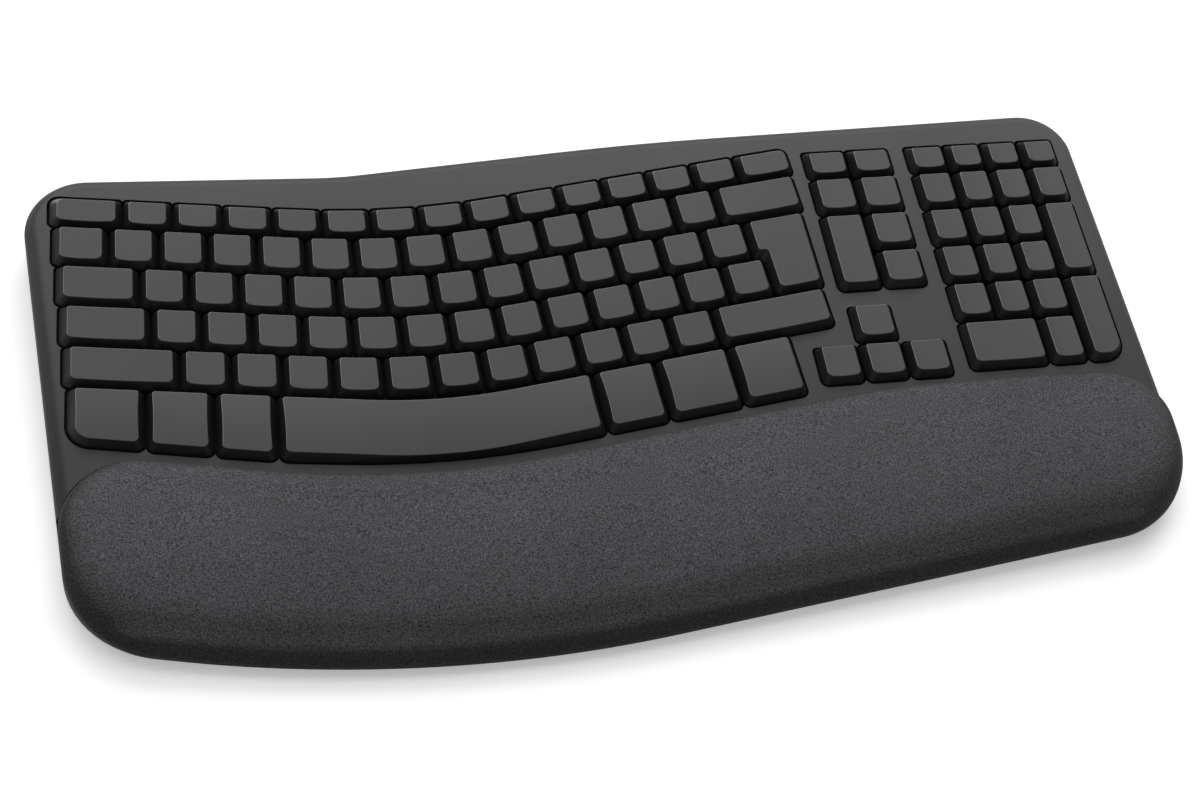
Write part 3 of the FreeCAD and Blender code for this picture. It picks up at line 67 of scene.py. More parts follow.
class NodeCanvas:
    """Adds and links the nodes of one tree."""

    def __init__(self, tree: bpy.types.NodeTree) -> None:
        """Keep the tree.

        Args:
            tree: The material's or group's node tree.
        """
        self.tree = tree

    def add(self, kind: str, inputs: dict | None = None, **settings: object) -> bpy.types.Node:
        """Add a node.

        Args:
            kind: The node's type name.
            inputs: Values or output sockets for its inputs, by socket name or number.
            settings: Attributes of the node.

        Returns:
            The new node.
        """
        node = self.tree.nodes.new(kind)
        for name, value in settings.items():
            setattr(node, name, value)
        self.feed(node, inputs or {})
        return node

    def feed(self, node: bpy.types.Node, inputs: dict) -> None:
        """Link outputs to a node's inputs, or set their values.

        Args:
            node: The node.
            inputs: Output sockets or plain values, by input name or number.
        """
        for name, value in inputs.items():
            socket = node.inputs[name]
            if isinstance(value, bpy.types.NodeSocket):
                self.tree.links.new(value, socket)
            else:
                socket.default_value = value

    def math(self, operation: str, *values: object) -> bpy.types.NodeSocket:
        """Result of a Math node.

        Args:
            operation: The node's operation.
            values: Its inputs, in order.

        Returns:
            The result's socket.
        """
        node = self.add("ShaderNodeMath", dict(enumerate(values)), operation=operation)
        return node.outputs[0]

    def parts(self, source: str) -> bpy.types.bpy_prop_collection:
        """Numbers of a texture coordinate.

        Args:
            source: The coordinate, such as Object or Normal.

        Returns:
            The X, Y and Z sockets.
        """
        vector = self.add("ShaderNodeTexCoord").outputs[source]
        return self.add("ShaderNodeSeparateXYZ", {"Vector": vector}).outputs

    def noise(self, scale: object, detail: float, roughness: float = 0.5) -> bpy.types.NodeSocket:
        """Noise on the object.

        Args:
            scale: Its scale.
            detail: Its detail.
            roughness: Its roughness.

        Returns:
            The noise's socket.
        """
        place = self.add("ShaderNodeTexCoord").outputs["Object"]
        node = self.add("ShaderNodeTexNoise", {"Vector": place, "Scale": scale, "Detail": detail,
                                               "Roughness": roughness})
        return node.outputs["Fac"]

    def blend(self, share: object, first: object, second: Colour) -> bpy.types.NodeSocket:
        """Mix of two colours.

        Args:
            share: Share of the second colour.
            first: The colour at share 0, or its socket.
            second: The colour at share 1.

        Returns:
            The mixed colour's socket.
        """
        start = first if isinstance(first, bpy.types.NodeSocket) else (*first, 1.0)
        node = self.add("ShaderNodeMix", {0: share, 6: start, 7: (*second, 1.0)}, data_type="RGBA")
        return node.outputs[2]

    def waver(self, value: object, mean: float, swing: float) -> bpy.types.NodeSocket:
        """Number that wavers about a mean with a noise.

        Args:
            value: The noise.
            mean: The mean.
            swing: The most that the result differs from it.

        Returns:
            The result's socket.
        """
        return self.span(value, *NOISE_SPAN, mean - swing, mean + swing)

    def span(self, value: object, low: object, high: object, to_low: float = 0.0,
             to_high: float = 1.0) -> bpy.types.NodeSocket:
        """Value mapped from one range to another, clamped.

        Args:
            value: The input value.
            low: Start of its range.
            high: End of its range.
            to_low: Result at low.
            to_high: Result at high.

        Returns:
            The result's socket.
        """
        node = self.add("ShaderNodeMapRange", {"Value": value, "From Min": low, "From Max": high,
                                               "To Min": to_low, "To Max": to_high})
        return node.outputs["Result"]

    def effect(self, group: bpy.types.NodeTree, **values: object) -> bpy.types.Node:
        """Place a shared effect.

        Args:
            group: The effect's node group.
            values: Values of its inputs.

        Returns:
            The group node.
        """
        return self.add("ShaderNodeGroup", values, node_tree=group)


class Effects:
    """Effects that several finishes share, each one node group built once.

    The spans and weights here are of a face's normal, except the ends of the painted shade toward the front,
    which are y coordinates.
    """

    # Band of rounded edges that get a painted highlight or shade; the lit_ numbers weight it toward faces
    # that look to the rear and the left.
    rim_top = (0.93, 0.985)
    rim_foot = (0.68, 0.8)
    lit_rear = 0.9
    lit_left = 0.6
    lit_span = (-0.25, 0.45)
    lit_least = 0.12
    front_shade_ends = (-0.05, 0.10)

    def __init__(self) -> None:
        """Build the groups."""
        self.grain = self._grain()
        self.facing = self._painted_light_masks()
        self.knit = self._knit()
        self.fade = self._front_shade()

    @staticmethod
    def _new(name: str, inputs: dict[str, float], outputs: tuple[str, ...],
             ) -> tuple[bpy.types.NodeTree, NodeCanvas, bpy.types.Node, bpy.types.Node]:
        """Start a group with number sockets.

        Args:
            name: The group's name.
            inputs: Input names and their defaults.
            outputs: Output names.

        Returns:
            The group, its canvas, its input node and its output node.
        """
        group = bpy.data.node_groups.new(name, "ShaderNodeTree")
        for label, value in inputs.items():
            socket = group.interface.new_socket(name=label, in_out="INPUT", socket_type="NodeSocketFloat")
            socket.default_value = value
        for label in outputs:
            group.interface.new_socket(name=label, in_out="OUTPUT", socket_type="NodeSocketFloat")
        canvas = NodeCanvas(group)
        return group, canvas, canvas.add("NodeGroupInput"), canvas.add("NodeGroupOutput")

    def _grain(self) -> bpy.types.NodeTree:
        """Fine moulded grain with slow patches.

        Returns:
            The group, with Height and Patch outputs.
        """
        group, canvas, given, result = self._new("moulded_grain", {"Scale": 2600.0}, ("Height", "Patch"))
        canvas.feed(result, {"Height": canvas.noise(given.outputs["Scale"], 3.0),
                             "Patch": canvas.noise(18.0, 2.0)})
        return group

    def _painted_light_masks(self) -> bpy.types.NodeTree:
        """Masks by the way a face looks on the object, for painted light and shade.

        Returns:
            The group. Up marks faces that look up; finishes paint the other faces darker as painted shade.
            Rim marks the rounded edges below them, more so to the rear and the left, for a painted highlight
            or shade, and Lean gives a factor that grows to the left, painted light across dished tops.
        """
        group, canvas, given, result = self._new("painted_light_masks", {"Low": 0.6, "High": 0.95, "Swing": 0.0},
                                                 ("Up", "LitRim", "PaintedLean"))
        parts = canvas.parts("Normal")
        upward = canvas.span(parts["Z"], given.outputs["Low"], given.outputs["High"])
        below = canvas.span(parts["Z"], *self.rim_top, 1.0, 0.0)
        above = canvas.span(parts["Z"], *self.rim_foot)
        band = canvas.math("MULTIPLY", below, above)
        toward = canvas.math("SUBTRACT", canvas.math("MULTIPLY", parts["Y"], self.lit_rear),
                             canvas.math("MULTIPLY", parts["X"], self.lit_left))
        lit = canvas.span(toward, *self.lit_span, self.lit_least, 1.0)
        # Painted lean: the colour grows lighter as a face turns to the left, painted light across dished
        # tops.
        swing = canvas.math("MULTIPLY", parts["X"], given.outputs["Swing"])
        canvas.feed(result, {"Up": upward, "LitRim": canvas.math("MULTIPLY", band, lit),
                             "PaintedLean": canvas.math("SUBTRACT", 1.0, swing)})
        return group

    def _knit(self) -> bpy.types.NodeTree:
        """Fine knit of mixed yarns: thread relief, light flecks and slow patches.

        Returns:
            The group, with Height, Fleck and Patch outputs.
        """
        group, canvas, given, result = self._new("melange_knit", {"Pitch": 1500.0},
                                                 ("Height", "Fleck", "Patch"))
        pitch = given.outputs["Pitch"]
        place = canvas.add("ShaderNodeTexCoord").outputs["Object"]
        cells = canvas.add("ShaderNodeTexVoronoi", {"Vector": place, "Scale": pitch, "Randomness": 0.75})
        yarn = canvas.noise(pitch, 4.0, 0.7)
        relief = canvas.math("SUBTRACT", yarn, cells.outputs["Distance"])
        canvas.feed(result, {"Height": relief, "Fleck": yarn, "Patch": canvas.noise(25.0, 3.0)})
        return group

    def _front_shade(self) -> bpy.types.NodeTree:
        """Painted shade that grows slowly from the rear of the object to its front.

        Returns:
            The group. Factor is 1 at the rear and less by the amount given at the front.
        """
        group, canvas, given, result = self._new("painted_front_shade", {"Amount": 0.0}, ("Factor",))
        near = canvas.span(canvas.parts("Object")["Y"], *self.front_shade_ends, 1.0, 0.0)
        loss = canvas.math("MULTIPLY", near, given.outputs["Amount"])
        canvas.feed(result, {"Factor": canvas.math("SUBTRACT", 1.0, loss)})
        return group


EFFECTS = Effects()


def new_finish(name: str) -> tuple[bpy.types.Material, NodeCanvas, bpy.types.Node]:
    """Start a material.

    Args:
        name: The material's name.

    Returns:
        The material, its canvas and its Principled BSDF.
    """
    material = bpy.data.materials.new(name)
    material.use_nodes = True
    canvas = NodeCanvas(material.node_tree)
    return material, canvas, material.node_tree.nodes["Principled BSDF"]


@dataclass(frozen=True)
class Moulded:
    """Moulded plastic or rubber with grain, and painted light and shade: faces that look up and rounded edges
    may differ, sides taking a painted shade, rounded edges a painted highlight or shade, and tops a painted
    lean.
    """

    name: str
    top: Colour
    # Colour of faces that do not look up; where darker than the top colour it is painted shade (keys, case,
    # silicone), on the board it is the laminate's edge.
    side: Colour
    # Painted highlight or shade on rounded edges that face the rear and the left.
    rim_shading: Colour
    roughness: float = 0.5
    gloss: float = 0.4
    grain: float = 2600.0
    relief: float = 0.00001
    # Span of the normal's height from the painted side shade to the top colour.
    low: float = 0.6
    high: float = 0.95
    # Strength of the painted lean across dished tops.
    swing: float = 0.0
    # Painted shade: how much the colour darkens toward the front of the object.
    fade: float = 0.0
    mottle: float = 0.06
    rough_swing: float = 0.05

    def material(self) -> bpy.types.Material:
        """Build the material.

        Returns:
            The finished material.
        """
        material, canvas, shader = new_finish(self.name)
        grain = canvas.effect(EFFECTS.grain, Scale=self.grain)
        facing = canvas.effect(EFFECTS.facing, Low=self.low, High=self.high, Swing=self.swing)
        # Painted shade on faces that do not look up, then a painted highlight or shade on rounded edges.
        colour = canvas.blend(facing.outputs["Up"], self.side, self.top)
        rim_shaded = canvas.blend(facing.outputs["LitRim"], colour, self.rim_shading)
        patch = canvas.waver(grain.outputs["Patch"], 1.0, self.mottle)
        # Painted shade toward the front, multiplied with the grain patches and the painted lean.
        fade = canvas.effect(EFFECTS.fade, Amount=self.fade).outputs["Factor"]
        level = canvas.math("MULTIPLY", canvas.math("MULTIPLY", patch, fade), facing.outputs["PaintedLean"])
        shade = canvas.add("ShaderNodeHueSaturation", {"Color": rim_shaded, "Value": level})
        rough = canvas.waver(grain.outputs["Height"], self.roughness, self.rough_swing)
        bump = canvas.add("ShaderNodeBump", {"Height": grain.outputs["Height"], "Strength": 1.0,
                                             "Distance": self.relief})
        canvas.feed(shader, {"Base Color": shade.outputs["Color"], "Roughness": rough,
                             "Normal": bump.outputs["Normal"], "Specular IOR Level": self.gloss})
        return material


@dataclass(frozen=True)
class Knit:
    """Melange knit of dark and light yarns, with painted shade on faces that turn away from up."""

    name: str
    dark: Colour
    light: Colour
    pitch: float = 1700.0
    relief: float = 0.00014
    # Painted shade: colour level of faces that turn away from up, such as the pad's front roll; up_span
    # bounds that turn.
    under: float = 0.28
    yarn_span: tuple[float, float] = (0.36, 0.66)
    up_span: tuple[float, float] = (0.84, 0.998)
    mottle: float = 0.07
    strength: float = 0.8
    roughness: float = 0.95
    gloss: float = 0.15
    sheen: float = 0.12
    sheen_roughness: float = 0.5

    def material(self) -> bpy.types.Material:
        """Build the material.

        Returns:
            The finished material.
        """
        material, canvas, shader = new_finish(self.name)
        knit = canvas.effect(EFFECTS.knit, Pitch=self.pitch)
        fleck = canvas.span(knit.outputs["Fleck"], *self.yarn_span)
        colour = canvas.blend(fleck, self.dark, self.light)
        patch = canvas.waver(knit.outputs["Patch"], 1.0, self.mottle)
        # Painted shade where the fabric turns away from up.
        low, high = self.up_span
        up = canvas.effect(EFFECTS.facing, Low=low, High=high).outputs["Up"]
        level = canvas.math("MULTIPLY", patch, canvas.span(up, 0.0, 1.0, self.under, 1.0))
        shade = canvas.add("ShaderNodeHueSaturation", {"Color": colour, "Value": level})
        bump = canvas.add("ShaderNodeBump", {"Height": knit.outputs["Height"], "Strength": self.strength,
                                             "Distance": self.relief})
        canvas.feed(shader, {"Base Color": shade.outputs["Color"], "Roughness": self.roughness,
                             "Normal": bump.outputs["Normal"], "Specular IOR Level": self.gloss,
                             "Sheen Weight": self.sheen, "Sheen Roughness": self.sheen_roughness})
        return material


@dataclass(frozen=True)
class Metal:
    """Sheet or turned metal with faint drawn lines."""

    name: str
    colour: Colour
    roughness: float = 0.35
    lines: float = 900.0
    rough_swing: float = 0.08
    shadow: float = 0.8

    def material(self) -> bpy.types.Material:
        """Build the material.

        Returns:
            The finished material.
        """
        material, canvas, shader = new_finish(self.name)
        grain = canvas.effect(EFFECTS.grain, Scale=self.lines)
        dark = tuple(self.shadow * part for part in self.colour)
        colour = canvas.blend(grain.outputs["Patch"], dark, self.colour)
        rough = canvas.waver(grain.outputs["Height"], self.roughness, self.rough_swing)
        canvas.feed(shader, {"Base Color": colour, "Roughness": rough, "Metallic": 1.0})
        return material


@dataclass(frozen=True)
class Jacket:
    """Printed jackets of cells in a row along X: a light band at one end of a dark sleeve."""

    name: str
    sleeve: Colour
    band: Colour
    cap: Colour
    start: float
    length: float
    band_length: float = 0.011
    grain: float = 1200.0
    roughness: float = 0.27
    rough_swing: float = 0.05
    end_facing: float = 0.9
    cap_metal: float = 0.9

    def material(self) -> bpy.types.Material:
        """Build the material.

        Returns:
            The finished material.
        """
        material, canvas, shader = new_finish(self.name)
        offset = canvas.math("SUBTRACT", canvas.parts("Object")["X"], self.start)
        local = canvas.math("WRAP", offset, self.length, 0.0)
        banded = canvas.math("GREATER_THAN", local, self.length - self.band_length)
        colour = canvas.blend(banded, self.sleeve, self.band)
        sideways = canvas.math("ABSOLUTE", canvas.parts("Normal")["X"])
        end = canvas.math("GREATER_THAN", sideways, self.end_facing)
        grain = canvas.effect(EFFECTS.grain, Scale=self.grain)
        rough = canvas.waver(grain.outputs["Height"], self.roughness, self.rough_swing)
        canvas.feed(shader, {"Base Color": canvas.blend(end, colour, self.cap), "Roughness": rough,
                             "Metallic": canvas.math("MULTIPLY", end, self.cap_metal)})
        return material


class Shade(Enum):
    """Finishes of the keyboard, by the part of the object that has them."""

    KEY = "key"
    CASE = "case"
    BASE = "base"
    FRAME = "frame"
    SILICONE = "silicone"
    FOIL = "foil"
    RUBBER = "rubber"
    SLIDER = "slider"
    SWITCH = "switch"
    BOARD = "board"
    FABRIC = "fabric"
    STEEL = "steel"
    SCREW = "screw"
    CONTACT = "contact"


# Painted light and shade in these recipes: key and case sides far darker than their tops, silicone sides a
# little darker, rounded-edge colours as a painted highlight (as painted shade on the case), a lean across key
# tops, and shade toward the front of keys and case.
RECIPES: dict[Shade, Moulded | Knit | Metal] = {
    Shade.KEY: Moulded("key_plastic", (0.068, 0.0685, 0.0695), (0.009, 0.009, 0.0095), (0.34, 0.34, 0.343),
                       roughness=0.42, gloss=0.14, low=0.92, high=0.98, swing=0.3, fade=0.2),
    Shade.CASE: Moulded("case_plastic", (0.076, 0.0765, 0.0775), (0.026, 0.026, 0.027), (0.036, 0.036, 0.037),
                        roughness=0.55, gloss=0.15, fade=0.55),
    Shade.BASE: Moulded("base_plastic", (0.05, 0.05, 0.051), (0.05, 0.05, 0.051), (0.07, 0.07, 0.07),
                        roughness=0.6, grain=1400.0, relief=0.00004),
    Shade.FRAME: Moulded("frame_plastic", (0.006, 0.006, 0.006), (0.006, 0.006, 0.006), (0.01, 0.01, 0.01),
                         roughness=0.7, gloss=0.2),
    Shade.SILICONE: Moulded("dome_silicone", (0.6, 0.6, 0.58), (0.55, 0.55, 0.53), (0.65, 0.65, 0.63),
                            roughness=0.55),
    Shade.FOIL: Moulded("switch_foil", (0.5, 0.55, 0.53), (0.5, 0.55, 0.53), (0.6, 0.6, 0.6), roughness=0.25),
    Shade.RUBBER: Moulded("foot_rubber", (0.02, 0.02, 0.02), (0.02, 0.02, 0.02), (0.035, 0.035, 0.035),
                          roughness=0.85, gloss=0.25, relief=0.00004),
    Shade.SLIDER: Moulded("slider_plastic", (0.3, 0.3, 0.31), (0.3, 0.3, 0.31), (0.42, 0.42, 0.43)),
    Shade.SWITCH: Moulded("switch_plastic", (0.02, 0.02, 0.02), (0.02, 0.02, 0.02), (0.04, 0.04, 0.04)),
    Shade.BOARD: Moulded("board_laminate", (0.015, 0.11, 0.05), (0.3, 0.26, 0.14), (0.1, 0.2, 0.12),
                         roughness=0.35, grain=500.0),
    Shade.FABRIC: Knit("cover_fabric", (0.012, 0.0125, 0.014), (0.150, 0.152, 0.160)),
    Shade.STEEL: Metal("plate_steel", (0.55, 0.56, 0.57)),
    Shade.SCREW: Metal("screw_steel", (0.10, 0.10, 0.105), roughness=0.4),
    Shade.CONTACT: Metal("contact_steel", (0.62, 0.62, 0.60), roughness=0.25),
}
FINISHES: dict[Shade, bpy.types.Material] = {shade: recipe.material() for shade, recipe in RECIPES.items()}


def dress_node(name: str, shade: Shade, split_angle: float = SHARP_ANGLE) -> None:
    """Give a CAD node its finish and smooth shading between its edges.

    Args:
        name: The node's name.
        shade: Its finish.
        split_angle: Edges sharper than this many degrees stay sharp.
    """
    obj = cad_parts[name]
    obj.data.materials.clear()
    obj.data.materials.append(FINISHES[shade])
    obj.data.polygons.foreach_set("use_smooth", [True] * len(obj.data.polygons))
    weld = obj.modifiers.new("weld", "WELD")
    weld.merge_threshold = MERGE
    split = obj.modifiers.new("edges", "EDGE_SPLIT")
    split.split_angle = math.radians(split_angle)
    weighted = obj.modifiers.new("normals", "WEIGHTED_NORMAL")
    weighted.keep_sharp = True
    log.info("dressed %s", name)


def new_object(name: str, data: bpy.types.ID) -> bpy.types.Object:
    """Make an object and put it into the scene.

    Args:
        name: The object's name.
        data: Its mesh, lamp or camera.

    Returns:
        The new object.
    """
    obj = bpy.data.objects.new(name, data)
    bpy.context.scene.collection.objects.link(obj)
    return obj


def new_mesh_object(name: str, mesh: bmesh.types.BMesh, material: bpy.types.Material) -> bpy.types.Object:
    """Make an object of a finished bmesh.

    Args:
        name: The object's name.
        mesh: Its mesh, which is freed.
        material: Its material.

    Returns:
        The new object.
    """
    data = bpy.data.meshes.new(name)
    mesh.to_mesh(data)
    mesh.free()
    data.materials.append(material)
    return new_object(name, data)


def new_piece(name: str, mesh: bmesh.types.BMesh, material: bpy.types.Material,
              body: str) -> bpy.types.Object:
    """Make a piece, smooth between its sharp edges, and let it ride on a body.

    Args:
        name: The piece's name.
        mesh: Its mesh, which is freed.
        material: Its material.
        body: The CAD body that it rides on.

    Returns:
        The new object.
    """
    obj = new_mesh_object(name, mesh, material)
    obj.data.polygons.foreach_set("use_smooth", [True] * len(obj.data.polygons))
    obj.data.set_sharp_from_angle(angle=math.radians(SHARP_ANGLE))
    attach(obj, body)
    log.info("made %s", name)
    return obj


def node_islands(name: str) -> list[tuple[Vector, Vector]]:
    """Boxes of a node's separate solids.

    Args:
        name: The node's name.

    Returns:
        The lowest and highest corner of each solid, in order along X.
    """
    mesh = bmesh.new()
    mesh.from_mesh(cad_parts[name].data)
    bmesh.ops.remove_doubles(mesh, verts=mesh.verts, dist=MERGE)
    left = set(mesh.verts)
    boxes = []
    while left:
        stack = [left.pop()]
        points = []
        while stack:
            vert = stack.pop()
            points.append(vert.co.copy())
            for link in vert.link_edges:
                other = link.other_vert(vert)
                if other in left:
                    left.remove(other)
                    stack.append(other)
        low = Vector([min(point[axis] for point in points) for axis in range(3)])
        high = Vector([max(point[axis] for point in points) for axis in range(3)])
        boxes.append((low, high))
    mesh.free()
    return sorted(boxes, key=lambda pair: pair[0].x)


def lathe(mesh: bmesh.types.BMesh, profile: list[tuple[float, float]], centre: Vector, axis: Vector,
          segments: int = 48) -> None:
    """Add a turned solid.

    Args:
        mesh: The mesh to add to.
        profile: (radius, height) points from one end of the axis to the other.
        centre: The point of the axis at height 0.
        axis: The axis's direction.
        segments: Steps of a full turn.
    """
    turn = UP.rotation_difference(axis)
    start = len(mesh.verts)
    points = [mesh.verts.new(centre + turn @ Vector((radius, 0, height))) for radius, height in profile]
    edges = [mesh.edges.new(pair) for pair in zip(points, points[1:])]
    bmesh.ops.spin(mesh, geom=points + edges, cent=centre, axis=axis, angle=math.tau, steps=segments,
                   use_merge=True)
    mesh.verts.ensure_lookup_table()
    bmesh.ops.remove_doubles(mesh, verts=mesh.verts[start:], dist=MERGE)
    bmesh.ops.recalc_face_normals(mesh, faces=mesh.faces)


def block(mesh: bmesh.types.BMesh, low: Vector, high: Vector, bevel: float) -> None:
    """Add a block with rounded edges.

    Args:
        mesh: The mesh to add to.
        low: Its lowest corner.
        high: Its highest corner.
        bevel: Width of the rounding.
    """
    size = high - low
    place = Matrix.Translation((low + high) / 2) @ Matrix.Diagonal((*size, 1.0))
    made = bmesh.ops.create_cube(mesh, size=1.0, matrix=place)
    edges = {link for vert in made["verts"] for link in vert.link_edges}
    bmesh.ops.bevel(mesh, geom=list(edges), offset=bevel, segments=2, profile=0.5, affect="EDGES",
                    material=-1)


@dataclass
class Housing:
    """Upper and lower shell."""

    upper: str = "top_case"
    lower: str = "bottom_case"
    split_angle: float = 25.0

    def build(self) -> None:
        """Dress both shells."""
        dress_node(self.upper, Shade.CASE, self.split_angle)
        dress_node(self.lower, Shade.BASE)


@dataclass
class KeyField:
    """Key caps and the layers under them."""

    layers: dict[str, Shade] = field(default_factory=lambda: {
        "key_frame": Shade.FRAME, "dome_sheet": Shade.SILICONE, "membrane": Shade.FOIL,
        "backing_plate": Shade.STEEL})
    cap_words: tuple[str, ...] = ("_key", "_keys", "_keys_left", "_keys_right", "_letters_left",
                                  "_letters_right", "_digits", "_bar")
    split_angle: float = 38.0

    def caps(self) -> list[str]:
        """Names of the key nodes.

        Returns:
            The nodes that end in a key's or a key group's word.
        """
        return [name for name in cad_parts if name.endswith(self.cap_words)]

    def build(self) -> None:
        """Dress the caps and the layers."""
        for name in self.caps():
            dress_node(name, Shade.KEY, self.split_angle)
        for name, shade in self.layers.items():
            dress_node(name, shade)


@dataclass(frozen=True)
class Corner:
    """Rounded corner of a plan outline."""

    x: float
    y: float
    radius: float

    def arc(self, before: "Corner", after: "Corner", steps: int) -> list[Vector]:
        """Points of the corner's arc.

        Args:
            before: The corner before this one.
            after: The corner after it.
            steps: Segments of the arc.

        Returns:
            Points in millimetres, from the side of the corner before.
        """
        tip = Vector((self.x, self.y))
        back = (Vector((before.x, before.y)) - tip).normalized()
        ahead = (Vector((after.x, after.y)) - tip).normalized()
        half = back.angle(ahead) / 2
        reach = self.radius / math.tan(half)
        centre = tip + (back + ahead).normalized() * self.radius / math.sin(half)
        start = tip + back * reach - centre
        turn = start.angle_signed(tip + ahead * reach - centre)
        return [centre + Matrix.Rotation(-turn * index / steps, 2) @ start for index in range(steps + 1)]


class Edge(Enum):
    """Sides of the palm rest, counter-clockwise from the left front corner."""

    FRONT = 0
    RIGHT = 1
    REAR = 2
    LEFT = 3


@dataclass(frozen=True)
class Roll:
    """How the pad rolls off along one side, lengths in millimetres.

    The wall is the part of the height that stands upright, the drop is how far the folded edge
    hangs below the shelf.
    """

    width: float
    wall: float
    outset: float
    drop: float = 0.0


@dataclass
class PalmRest:
    """Fabric-covered foam pad on the shelf in front of the keys; lengths in millimetres."""

    corners: tuple[Corner, ...] = (
        Corner(-212.76, -96.23, 38.0), Corner(-85.1, -123.43, 543.0), Corner(220.4, -85.03, 38.0),
        Corner(219.4, -18.88, 24.0), Corner(108.0, -18.88, 400.0), Corner(-85.6, -45.88, 340.0),
        Corner(-215.76, -18.68, 28.0))
    long_cells: int = 230
    cross_cells: int = 54
    arc_steps: int = 24
    roll_rings: int = 9
    shelf_height: float = 4.6
    shelf_start: float = -124.83
    shelf_slope: float = 5.3
    deck_height: float = 20.85
    deck_slope: float = 3.0
    crest_rise: float = 3.2
    crest_back: float = 13.0
    nose_height: float = 8.3
    nose_back: float = 8.0
    crown: float = 2.6
    rolls: dict[Edge, Roll] = field(default_factory=lambda: {
        Edge.FRONT: Roll(18.0, 0.05, 0.3, 0.4), Edge.RIGHT: Roll(15.0, 0.40, 0.2),
        Edge.REAR: Roll(9.0, 0.80, -0.25), Edge.LEFT: Roll(15.0, 0.45, 0.0)})
    blend_reach: int = 26
    lip: float = 0.4
    tuck: float = 1.8
    base_gap: float = 0.02
    ripple: float = 0.12
    ripple_scale: float = 0.016

    def _arcs(self) -> list[list[Vector]]:
        """Arc of every corner.

        Returns:
            Lists of points.
        """
        count = len(self.corners)
        return [corner.arc(self.corners[index - 1], self.corners[(index + 1) % count], self.arc_steps)
                for index, corner in enumerate(self.corners)]

    @staticmethod
    def _resample(path: list[Vector], cells: int) -> list[Vector]:
        """Even points along a path, without its last one.

        Args:
            path: The path.
            cells: How many points.

        Returns:
            The points.
        """
        lengths = [0.0]
        for first, second in zip(path, path[1:]):
            lengths.append(lengths[-1] + (second - first).length)
        points = []
        index = 0
        for step in range(cells):
            target = lengths[-1] * step / cells
            while lengths[index + 1] < target:
                index += 1
            share = (target - lengths[index]) / (lengths[index + 1] - lengths[index])
            points.append(path[index].lerp(path[index + 1], share))
        return points

    def _outline(self) -> tuple[list[Vector], list[Edge]]:
        """Even outline points and the side that each belongs to.

        Returns:
            The points and their sides.
        """
        arcs = self._arcs()
        middle = self.arc_steps // 2
        front = arcs[0][middle:] + arcs[1] + arcs[2][:middle + 1]
        right = arcs[2][middle:] + arcs[3][:middle + 1]
        rear = arcs[3][middle:] + arcs[4] + arcs[5] + arcs[6][:middle + 1]
        left = arcs[6][middle:] + arcs[0][:middle + 1]
        points: list[Vector] = []
        sides: list[Edge] = []
        for edge, path in zip(Edge, (front, right, rear, left)):
            cells = self.long_cells if edge in (Edge.FRONT, Edge.REAR) else self.cross_cells
            points += self._resample(path, cells)
            sides += [edge] * cells
        return points, sides

    def _smoothed(self, values: list[float]) -> list[float]:
        """Running mean round the outline.

        Args:
            values: One value for each outline point.

        Returns:
            The smoothed values.
        """
        count = len(values)
        reach = self.blend_reach
        return [sum(values[(index + step) % count] for step in range(-reach, reach + 1)) / (2 * reach + 1)
                for index in range(count)]

    @staticmethod
    def _line(path: list[Vector], x: float) -> float:
        """Value of y at x on a broken line, carried on straight past its ends.

        Args:
            path: Its points in order along X.
            x: The place.

        Returns:
            The y there.
        """
        for first, second in zip(path, path[1:]):
            if x <= second.x:
                break
        return first.y + (second.y - first.y) * (x - first.x) / (second.x - first.x)

    def _shelf(self, y: float) -> float:
        """Height of the shelf under the pad.

        Args:
            y: The place.

        Returns:
            The height.
        """
        return self.shelf_height + (y - self.shelf_start) * math.tan(math.radians(self.shelf_slope))

    def _top(self, point: Vector, front: list[Vector], rear: list[Vector]) -> float:
        """Height of the pad away from its rolled sides.

        Args:
            point: The place in plan.
            front: The front side as a broken line.
            rear: The rear side as a broken line.

        Returns:
            The height.
        """
        low = self._line(front, point.x)
        high = self._line(rear, point.x)
        crest_y = high - self.crest_back
        nose_y = low + self.nose_back
        crest = self.deck_height + high * math.tan(math.radians(self.deck_slope)) + self.crest_rise
        nose = self._shelf(nose_y) + self.nose_height
        share = min(1.0, max(0.0, (point.y - nose_y) / (crest_y - nose_y)))
        return nose + (crest - nose) * share + 4 * self.crown * share * (1 - share)

    def _folds(self, mesh: bmesh.types.BMesh, ring: list[bmesh.types.BMVert], outward: list[Vector],
               drops: list[float]) -> list[list[bmesh.types.BMVert]]:
        """Add the folded edge under the lowest ring of the roll.

        Args:
            mesh: The mesh.
            ring: The roll's lowest ring.
            outward: The way out at each of its points.
            drops: How far the fold hangs below the shelf at each of them.

        Returns:
            Three rings, from the base to the outer lip.
        """
        base: list[bmesh.types.BMVert] = []
        back: list[bmesh.types.BMVert] = []
        outer: list[bmesh.types.BMVert] = []
        for vert, out, drop in zip(ring, outward, drops):
            edge = Vector(vert.co.xy)
            low = self._shelf(edge.y) - drop
            behind = edge - out * (2 * self.lip + self.tuck * drop)
            inner = behind - out * self.lip
            lip = edge - out * self.lip
            base.append(mesh.verts.new((inner.x, inner.y, self._shelf(inner.y) + self.base_gap)))
            back.append(mesh.verts.new((behind.x, behind.y, low + self.base_gap)))
            outer.append(mesh.verts.new((lip.x, lip.y, low)))
        return [base, back, outer]

